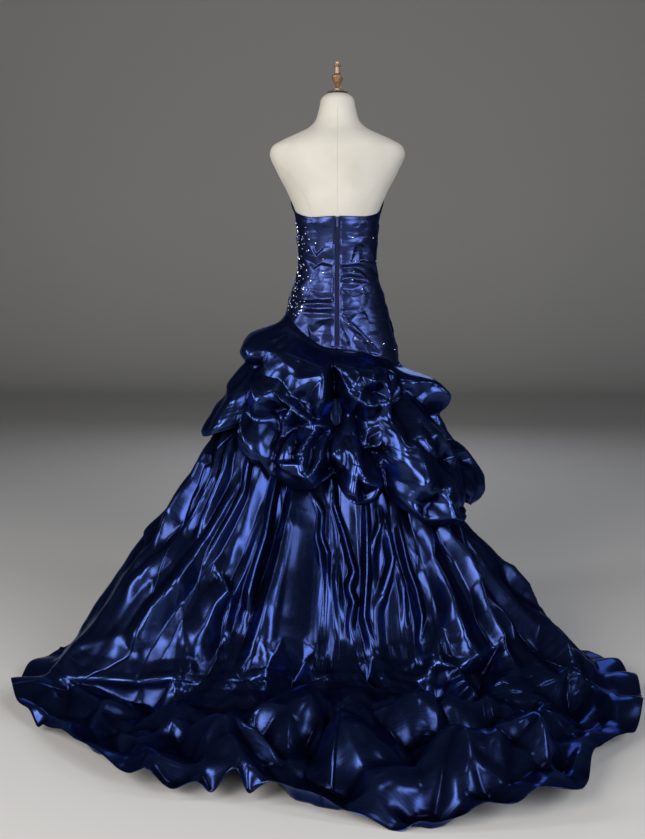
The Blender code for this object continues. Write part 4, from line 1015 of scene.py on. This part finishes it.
# %% The bodice
BODICE_CREASES = [
    [(4, 1.058, 3), (26, 1.06, 3), (35, 1.046, 2)],
    [(4, 1.038, 3), (15, 1.043, 4), (27, 1.035, 3), (41, 1.037, 3)],
    [(4, 1.023, 3), (17, 1.02, 4), (36, 1.026, 3)],
    [(3, 1.005, -1), (22, 1.002, -2), (42, 0.998, 0)],
    [(3, 0.989, 3), (22, 0.991, 5), (42, 0.987, 4)],
    [(3, 0.977, 0), (23, 0.974, -2), (35, 0.976, 0)],
    [(3, 0.962, 3), (20, 0.965, 5), (43, 0.964, 4)],
    [(5, 0.951, 0), (26, 0.944, -2), (35, 0.938, 0)],
    [(4, 0.931, 2), (14, 0.933, 5), (26, 0.91, 4)],
    [(12, 0.925, 4), (7, 0.896, 1)],
    [(16, 0.894, 4), (17, 0.869, 5), (26, 0.88, 0)],
    [(4, 1.088, 2), (24, 1.093, 4), (34, 1.079, 3)],
    [(4, 1.11, 0), (20, 1.105, -2), (31, 1.093, 0)],
    [(7, 1.14, 2), (20, 1.132, 4), (31, 1.114, 3)],
    [(6, 1.156, 0), (16, 1.159, -2), (32, 1.129, -1)],
    [(8, 1.196, 1), (22, 1.206, 3), (38, 1.21, 2)],
    [(44, 1.21, 3), (61, 1.164, 3), (63, 1.116, 1)],
    [(29, 1.181, 0), (42, 1.146, 3)],
    [(-2, 1.094, 3), (-18, 1.096, 4), (-34, 1.099, 5), (-69, 1.095, 5)],
    [(-2, 1.085, -1), (-18, 1.088, -1), (-34, 1.09, -2), (-66, 1.079, -1)],
    [(-4, 1.064, 2), (-18, 1.073, 5), (-35, 1.067, 5), (-49, 1.049, 3)],
    [(-4, 1.053, 0), (-18, 1.06, -1), (-34, 1.056, -1)],
    [(-5, 1.046, 2), (-20, 1.047, 4), (-34, 1.041, 3)],
    [(-5, 1.029, 0), (-19, 1.026, -1)],
    [(-3, 1.003, 2), (-18, 1.009, 5), (-33, 1.014, 4), (-43, 1.012, 2)],
    [(-4, 0.988, 2), (-18, 0.997, 4), (-27, 0.987, 4), (-32, 0.97, 2)],
    [(-2, 0.968, 2), (-12, 0.974, 4), (-23, 0.966, 5), (-32, 0.958, 5), (-36, 0.938, 2)],
    [(0, 0.963, 1), (-14, 0.945, 4), (-26, 0.907, 6), (-44, 0.851, 5)],
    [(-4, 0.948, -1), (-22, 0.901, -2), (-32, 0.859, -1)],
    [(0, 0.963, 1), (-11, 0.934, 4), (-24, 0.892, 6), (-34, 0.844, 5)],
    [(-2, 0.945, -1), (-14, 0.893, -2), (-22, 0.845, -1)],
    [(0, 0.96, 1), (-4, 0.925, 4), (-8, 0.887, 5), (-11, 0.861, 4)],
    [(0, 0.939, 0), (-2, 0.901, 3), (-6, 0.878, 2)],
    [(-9, 0.954, 0), (-22, 0.924, 0), (-33, 0.889, 1)],
    [(-24, 1.187, 3), (-35, 1.164, 4), (-41, 1.17, 3)],
    [(-42, 1.215, 3), (-51, 1.199, 4), (-60, 1.17, 3)],
    [(-26, 1.149, 3), (-35, 1.155, 5), (-51, 1.14, 5), (-69, 1.095, 5)],
    [(-40, 1.14, 0), (-47, 1.105, 1)],
    [(-34, 1.14, -2), (-38, 1.108, -2)],
    [(-89, 1.041, 1), (-80, 0.972, 1), (-64, 0.9, 2)],
]
BODICE_EDGE = [(a, h) for a in (-86, -40, 0, 40, 86) for h in (0.80, 1.245)] + [(-86, 1.0), (86, 1.0)]
BODICE_ARC = 0.0021
TUCK_GAIN = 1.5
HEM_RISE = 0.0008  # the top edge is turned in, so it is thicker
SEAM_TUCK, TUCKED_IN = 0.009, 0.0013  # the lower edge runs on under the overskirt, and lies deeper there
BACK_FINE = (96, 130)
BACK_WRINKLES = ((0.0032, 0.0, 2.2, 0.045), (0.0016, 0.3, 2.6, 0.018))  # depth, slant, stretch and size
FRONT_FINE = (120, 96)
FRONT_GATHERS = ((0.006, 0.06, 1.6, 0.030), (0.003, 0.10, 2.4, 0.016))  # depth, stretch across and down, size


def tucked(out, angle, height):
    """How far the bodice stands out, drawn in where its lower edge lies under the overskirt."""
    below = ease_in(around(HIP_SEAM, "height", angle) + HIP_GAP - height, 0.0, 0.5 * SEAM_TUCK)
    return out * (1 - below) - TUCKED_IN * below


def fine_bodice_back(side):
    """One back panel's outside, with the creases from the table and fine wrinkles between them."""
    columns, rows = BACK_FINE
    down = np.linspace(0, 1, rows + 1)[:, None]
    share = np.linspace(0, 1, columns + 1)[None, :]
    height = bodice_heights(side * share * SIDE_SEAM, down)
    open_share = ease_in(height - SEAM_TUCK * down, ZIP_FOOT - 0.003, ZIP_FOOT - 0.0004)
    slot = np.degrees(np.arcsin((ZIP_HALF_WIDTH * open_share + SEAM_GAP) / form_size("half_width", height)))
    angle = side * (slot + (SIDE_SEAM - slot) * share)
    height = bodice_heights(angle, down) - SEAM_TUCK * down
    relief = TUCK_GAIN * crease_relief(BODICE_CREASES, BODICE_EDGE, angle, height, BODICE_ARC, 1.0)
    for n, (deep, slant, tall, size) in enumerate(BACK_WRINKLES):
        relief = relief + deep * facets(np.radians(angle) * 0.10 + slant * height, height * tall, size, 21 + n)
    relief = soften(relief, 1, False) * ease_in(share, 0, 0.05) * ease_in(down, 0.0, 0.05)
    hem = HEM_RISE * ease_in(down, 0.028, 0.022)
    out = tucked(np.clip(relief, -0.0006, 0.02) + hem, angle, height)
    grid = form_point(angle, height, EASE + CLOTH) + out[..., None] * sideways(angle)
    return grid if side > 0 else grid[:, ::-1]


bodice_grids = {"bodice_back_left": fine_bodice_back(1), "bodice_back_right": fine_bodice_back(-1)}
columns, rows = FRONT_FINE
angle = np.linspace(SIDE_SEAM, 360 - SIDE_SEAM, columns + 1)[None, :]
down = np.linspace(0, 1, rows + 1)[:, None]
height = bodice_heights(angle, down) - SEAM_TUCK * down
ease = EASE + (FRONT_EASE - EASE) * np.clip(-np.cos(np.radians(angle)) * 4, 0, 1)
droop = 0.05 * np.cos(np.radians(angle * 2))
gather = sum(deep * facets(np.radians(angle) * wide, height * tall + droop, size, 23 + n)
             for n, (deep, wide, tall, size) in enumerate(FRONT_GATHERS))
gather = soften(gather, 1, False) * ease_in(down, 0.0, 0.06) + 0.0015 + HEM_RISE * ease_in(down, 0.035, 0.028)
bodice_grids["bodice_front"] = form_point(angle, height, ease + CLOTH + tucked(gather, angle, height))
for name, grid in bodice_grids.items():
    # The bodice panels take the copy of the taffeta that is painted lighter, as painted light
    piece = cloth_piece(name + "_cloth", grid, bodice_taffeta_painted_lighter, 0.0025, 0.0025)
    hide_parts(name)
    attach(piece, "root")
    print(name, "faces", len(piece.data.polygons))

# %% [markdown]
# ## Crystals, zip teeth, stitches and seams
#
# These small things are all copies of a little solid along a path or scattered on a surface, so one
# function puts copies of a unit shape at places with their own direction and size. The crystals are
# hot-fix rhinestones: flat-backed, with a table and eight facets. The zip is a nylon coil, whose
# turns show as a row of small bars. The stitches are matching thread, a third of a millimetre thick.

# %% Small copies
def copies(name, unit, faces, places, outward, along, scale, look):
    """One mesh of many copies of a unit solid: its Z goes outward, its X along, and its size is the scale."""
    outward = outward / np.linalg.norm(outward, axis=-1, keepdims=True)
    side = np.cross(outward, along)
    side /= np.linalg.norm(side, axis=-1, keepdims=True)
    along = np.cross(side, outward)
    axes = np.stack([along, side, outward], axis=1)
    unit, scale = np.asarray(unit, float), np.asarray(scale, float)
    points = places[:, None, :] + np.einsum("pk,nk,nkc->npc", unit, scale, axes)
    shift = np.arange(len(places)) * len(unit)
    polygons = [tuple(int(i + s) for i in face) for s in shift for face in faces]
    mesh = bpy.data.meshes.new(name)
    mesh.from_pydata(points.reshape(-1, 3).tolist(), [], polygons)
    return made_object(name, mesh, look)


def turned(rings, sides):
    """A unit solid with flat ends, from rings that are each a radius and a height."""
    turn = [2 * math.pi * i / sides for i in range(sides)]
    unit = [(r * math.cos(t), r * math.sin(t), z) for r, z in rings for t in turn]
    faces = [tuple(range(sides))[::-1], tuple(range(len(unit) - sides, len(unit)))]
    for ring in range(0, len(unit) - sides, sides):
        faces += [(ring + i, ring + (i + 1) % sides, ring + sides + (i + 1) % sides, ring + sides + i)
                  for i in range(sides)]
    return unit, faces


def rod(sides=6):
    """A unit rod along X with tapered ends."""
    unit, faces = turned([(0.45, -0.5), (1.0, -0.32), (1.0, 0.32), (0.45, 0.5)], sides)
    return [(z, x / 2, y / 2) for x, y, z in unit], faces


def along_path(points, step):
    """Places every step along a path, and the path's direction there."""
    run = np.concatenate([[0], np.cumsum(np.linalg.norm(np.diff(points, axis=0), axis=1))])
    at = np.arange(step / 2, run[-1], step)
    here, ahead, behind = (np.stack([np.interp(at + d, run, points[:, k]) for k in range(3)], axis=1)
                           for d in (0, step / 2, -step / 2))
    return here, ahead - behind


def along_paths(paths, step):
    """The same for several paths, in one pair of arrays."""
    return (np.concatenate(part) for part in zip(*[along_path(path, step) for path in paths]))

# %% Crystals
STONE_RADII = (0.0014, 0.0023)
CUT_STONE = turned([(1.0, 0.0), (1.0, 0.25), (0.55, 0.75)], 8)
LOOSE_BAND, STONE_ROWS = (0.04, 0.97), (0.08, 0.93)
# For each panel: the band across it that holds most stones, how many there, and how many all over
STONES = {"bodice_back_left": ((0.45, 0.97), 74, 20), "bodice_back_right": ((0.06, 0.38), 12, 10),
          "bodice_front": ((0.02, 0.25), 50, 40)}

chance = random.Random(41)
spots, normals, sizes = [], [], []
for name, (dense_band, dense, loose) in STONES.items():
    grid = bodice_grids[name]
    facing = grid_normals(grid, closed=False)
    flip = name == "bodice_back_right"
    for n in range(dense + loose):
        across = chance.uniform(*(dense_band if n < dense else LOOSE_BAND))
        row = int(chance.uniform(*STONE_ROWS) * (grid.shape[0] - 1))
        column = int((1 - across if flip else across) * (grid.shape[1] - 1))
        spots.append(grid[row, column])
        normals.append(facing[row, column])
        sizes.append([chance.uniform(*STONE_RADII)] * 3)
crystal_glass, node, wire, two_tone = new_material("silvered_lead_glass", Metallic=0.85, Coat_Weight=1.0)
place = node("TexCoord").outputs["Object"]
tone = node("TexNoise", Vector=place, Scale=120.0, Detail=0.0).outputs["Fac"]
two_tone(tone, "#b4c0ff", "#ffffff", 0.40, 0.60)
wire(node("MapRange", Value=tone, To_Min=0.16, To_Max=0.30).outputs["Result"], "Roughness")
spots, normals = np.array(spots), np.array(normals)
crystals = copies("crystals", *CUT_STONE, spots + 0.0002 * normals, normals,
                  np.tile([1.0, 0.2, 0.1], (len(spots), 1)), sizes, crystal_glass)
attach(crystals, "root")
print("crystals", len(spots))

# %% [markdown]
# ## The dress form, its finial and its stand
#
# The form is padded and covered in cream linen. The finial and neck cap are turned walnut with a
# satin varnish, and the pole and foot are powder-coated steel.

# %% Linen, walnut and steel
def linen(name, dull, pale):
    """Cream linen, matt, with a plain weave of uneven yarns."""
    made, node, wire, two_tone = new_material(name, Roughness=0.88, Sheen_Weight=0.15)
    place = node("TexCoord").outputs["Object"]
    yarns = [
        node("TexWave", {"wave_type": "BANDS", "bands_direction": axis}, Vector=place, Scale=52.0,
             Distortion=1.2, Detail=2.0, Detail_Scale=1.5).outputs["Fac"]
        for axis in ("X", "Z")
    ]
    weave = node("Math", {"operation": "MAXIMUM"}, _0=yarns[0], _1=yarns[1]).outputs[0]
    patch = node("TexNoise", Vector=place, Scale=9.0, Detail=3.0).outputs["Fac"]
    blend = node("Math", {"operation": "MULTIPLY_ADD"}, _0=weave, _1=0.12, _2=patch).outputs[0]
    two_tone(blend, dull, pale, 0.3, 0.95)
    wire(node("Bump", Strength=0.3, Distance=0.0003, Height=weave).outputs["Normal"], "Normal")
    return made


def walnut():
    """Turned walnut under a satin varnish: dark pores run along the grain."""
    made, node, wire, two_tone = new_material("varnished_walnut", Roughness=0.38, Coat_Weight=0.4,
                                              Coat_Roughness=0.2)
    place = node("TexCoord").outputs["Object"]
    along = node("Mapping", Vector=place, Scale=(220.0, 220.0, 28.0)).outputs["Vector"]
    grain = node("TexNoise", Vector=along, Scale=1.0, Detail=4.0, Roughness=0.6).outputs["Fac"]
    two_tone(grain, "#3a2616", "#7d5a38", 0.32, 0.68)
    wire(node("Bump", Strength=0.15, Distance=0.0004, Height=grain).outputs["Normal"], "Normal")
    return made


def coated_steel():
    """Steel under a fine-textured black powder coat."""
    made, node, wire, two_tone = new_material("powder_coated_steel", Roughness=0.5)
    place = node("TexCoord").outputs["Object"]
    speck = node("TexNoise", Vector=place, Scale=900.0, Detail=2.0).outputs["Fac"]
    two_tone(speck, "#19191b", "#2a2a2d")
    wire(node("Bump", Strength=0.2, Distance=0.0003, Height=speck).outputs["Normal"], "Normal")
    return made


def dress_nodes(look, *names):
    """Gives CAD nodes that keep their shape their finish."""
    for name in names:
        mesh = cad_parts[name].data
        mesh.materials.clear()
        mesh.materials.append(look)


form_cloth = linen("cream_linen", "#a29e94", "#b6b2aa")
finial_wood, stand_steel = walnut(), coated_steel()
seam_cloth = linen("linen_seam_thread", "#8f887a", "#a59e90")
dress_nodes(finial_wood, "form_neck_cap", "form_finial")
dress_nodes(stand_steel, "stand_foot", "stand_pole")

# %% [markdown]
# ## The zip
#
# A closed nylon coil zip runs down the centre back. Its woven tape is nearly black, the coil catches
# thin lines of light, and the slider and its pull are zinc under navy enamel.

# %% Zip materials
def dyed_tape():
    """Navy polyester tape: a fine herringbone that stays matt."""
    made, node, wire, two_tone = new_material("navy_zip_tape", Roughness=0.8, Specular_IOR_Level=0.15)
    place = node("TexCoord").outputs["Object"]
    ribs = node("TexWave", {"wave_type": "BANDS", "bands_direction": "DIAGONAL"}, Vector=place, Scale=160.0,
                Distortion=0.5).outputs["Fac"]
    two_tone(ribs, "#070a1c", "#10163a")
    wire(node("Bump", Strength=0.3, Distance=0.0002, Height=ribs).outputs["Normal"], "Normal")
    return made


def smooth_nylon():
    """Drawn nylon monofilament and thread: smooth, with a soft plastic shine."""
    made, node, wire, two_tone = new_material("navy_nylon_coil", Specular_IOR_Level=0.2)
    place = node("TexCoord").outputs["Object"]
    tone = node("TexNoise", Vector=place, Scale=400.0, Detail=1.0).outputs["Fac"]
    two_tone(tone, "#0a0e28", "#18214e")
    wire(node("MapRange", Value=tone, To_Min=0.45, To_Max=0.6).outputs["Result"], "Roughness")
    return made


def enamelled_zinc():
    """Die-cast zinc under navy enamel, worn a little brighter on the edges that fingers rub."""
    made, node, wire, two_tone = new_material("navy_enamelled_zinc", Metallic=0.5)
    place = node("TexCoord").outputs["Object"]
    worn = node("NewGeometry").outputs["Pointiness"]
    patch = node("TexNoise", Vector=place, Scale=500.0, Detail=2.0).outputs["Fac"]
    edge = node("Math", {"operation": "MULTIPLY_ADD"}, _0=patch, _1=0.12, _2=worn).outputs[0]
    two_tone(edge, "#0c112e", "#3a4370", 0.52, 0.66)
    wire(node("MapRange", Value=patch, To_Min=0.22, To_Max=0.34).outputs["Result"], "Roughness")
    return made


nylon = smooth_nylon()
dress_nodes(dyed_tape(), "zip_strip")
dress_nodes(enamelled_zinc(), "zip_slider", "zip_pull")

# %% The coil and the stitches beside it
COIL_PITCH = 0.0015
COIL_BAR = (0.0034, 0.0009, 0.0009)
COIL_SLANT = 0.35
levels = np.arange(ZIP_FOOT + 0.004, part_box("zip_strip")[1][2] - 0.018, COIL_PITCH)
one, none = np.ones(len(levels)), np.zeros(len(levels))
coil_at = form_point(none, levels, EASE + CLOTH + 0.0002)
slants = np.stack([one, none, COIL_SLANT * (-1.0) ** np.arange(len(levels))], axis=1)
coil = copies("zip_coil", *rod(), coil_at, np.stack([none, one, none], axis=1), slants,
              np.tile(COIL_BAR, (len(levels), 1)), nylon)
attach(coil, "root")

STOP_SIZE = (0.0112, 0.0075, 0.0024)
stop_at = form_point(np.zeros(1), np.array([ZIP_FOOT - 0.0025]), EASE + CLOTH - 0.0006)
stop = copies("zip_stop", *rod(), stop_at, np.array([[0.0, 1.0, 0.0]]), np.array([[1.0, 0.0, 0.0]]),
              [STOP_SIZE], nylon)
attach(stop, "root")

STITCH_STEP = 0.0030
STITCH = (0.0021, 0.00045, 0.00035)
lines = [bodice_grids["bodice_back_left"][6:, 3], bodice_grids["bodice_back_right"][6:, -4]]
lines += [grid[5] for grid in bodice_grids.values()]
spots, heads = along_paths(lines, STITCH_STEP)
level_out = spots * (1, 1, 0)
raised = spots + 0.0002 * level_out / np.linalg.norm(level_out, axis=1)[:, None]
stitches = copies("stitches", *rod(4), raised, level_out, heads, np.tile(STITCH, (len(spots), 1)), nylon)
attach(stitches, "root")
print("coil bars", len(levels), "stitches", len(spots))

# %% The form's cover and its seams
COVER_COLUMNS, COVER_ROWS, SHOULDER_ROWS = 80, 52, 38
FORM_SEAMS = [
    [(0, 1.21), (0, 1.30), (0, 1.42), (0, 1.52)],
    [(36, 1.21), (39, 1.26), (46, 1.30), (58, 1.345), (78, 1.385)],
    [(-36, 1.21), (-39, 1.26), (-46, 1.30), (-58, 1.345), (-78, 1.385)],
    [(180, 1.30), (180, 1.42), (180, 1.52)],
    [(140, 1.31), (135, 1.35), (118, 1.385)],
    [(-140, 1.31), (-135, 1.35), (-118, 1.385)],
    [(90, 1.26), (90, 1.32), (90, 1.39), (90, 1.44), (90, 1.52)],
    [(-90, 1.26), (-90, 1.32), (-90, 1.39), (-90, 1.44), (-90, 1.52)],
]
SEAM_STITCH, SEAM_STEP = (0.0026, 0.0009, 0.0006), 0.0029
cover_rows = np.concatenate([np.linspace(FORM_BOTTOM, 1.38, COVER_ROWS),
                             np.linspace(1.39, NECK_TOP, SHOULDER_ROWS)])[:, None]
cover_grid = form_point(np.linspace(0, 360, COVER_COLUMNS, endpoint=False)[None, :], cover_rows[::-1])
cover = cloth_piece("form_cover", cover_grid, form_cloth, 0.01, 0.01, closed=True)
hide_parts("form_torso")
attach(cover, "root")
paths = []
for seam in FORM_SEAMS:
    share, at = np.linspace(0, 1, len(seam)), np.linspace(0, 1, 60)
    angle, height = (through(share, column, at) for column in zip(*seam))
    paths.append(form_point(angle, height, 0.0001))
spots, heads = along_paths(paths, SEAM_STEP)
seam_thread = copies("form_seams", *rod(4), spots, spots * (1, 1, 0), heads,
                     np.tile(SEAM_STITCH, (len(spots), 1)), seam_cloth)
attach(seam_thread, "root")
print("form seam stitches", len(spots))

# %% [markdown]
# ## How each piece of cloth was cut
#
# Each row gives the flat size of what shows of a piece: its longest run across and down, measured
# along its folds, and its area. A skirt panel is a gore, narrow at the hip and wide at the hem, so its
# area is about half of its width times its length. The overskirt is one flounce all the way round.

# %% The cloth's cuts, listed and printed
Cut = namedtuple("Cut", "piece wide long area held hangs_from")
BODICE = ["bodice_front_cloth", "bodice_back_left_cloth", "bodice_back_right_cloth"]
CUTS = [
    Cut("bodice_front_cloth", 0.49, 0.49, 0.160, "gathered", ["form_cover"]),
    Cut("bodice_back_left_cloth", 0.23, 0.38, 0.055, "gathered", ["form_cover"]),
    Cut("bodice_back_right_cloth", 0.24, 0.45, 0.073, "gathered", ["form_cover"]),
    Cut("overskirt", 2.77, 0.58, 0.90, "gathered", BODICE),
    Cut("skirt_front_cloth", 1.27, 1.12, 0.74, "hung", BODICE[:1]),
    Cut("skirt_side_left_cloth", 0.91, 1.37, 0.58, "hung", BODICE[:2]),
    Cut("skirt_side_right_cloth", 0.85, 1.22, 0.47, "hung", BODICE[::2]),
    Cut("skirt_back_left_cloth", 1.17, 1.72, 0.90, "hung", BODICE[1:2]),
    Cut("skirt_back_right_cloth", 1.26, 1.81, 0.94, "hung", BODICE[2:]),
]
for cut in CUTS:
    print(cut.piece, "cut", cut.wide, "x", cut.long, "m, area", cut.area, "m2")
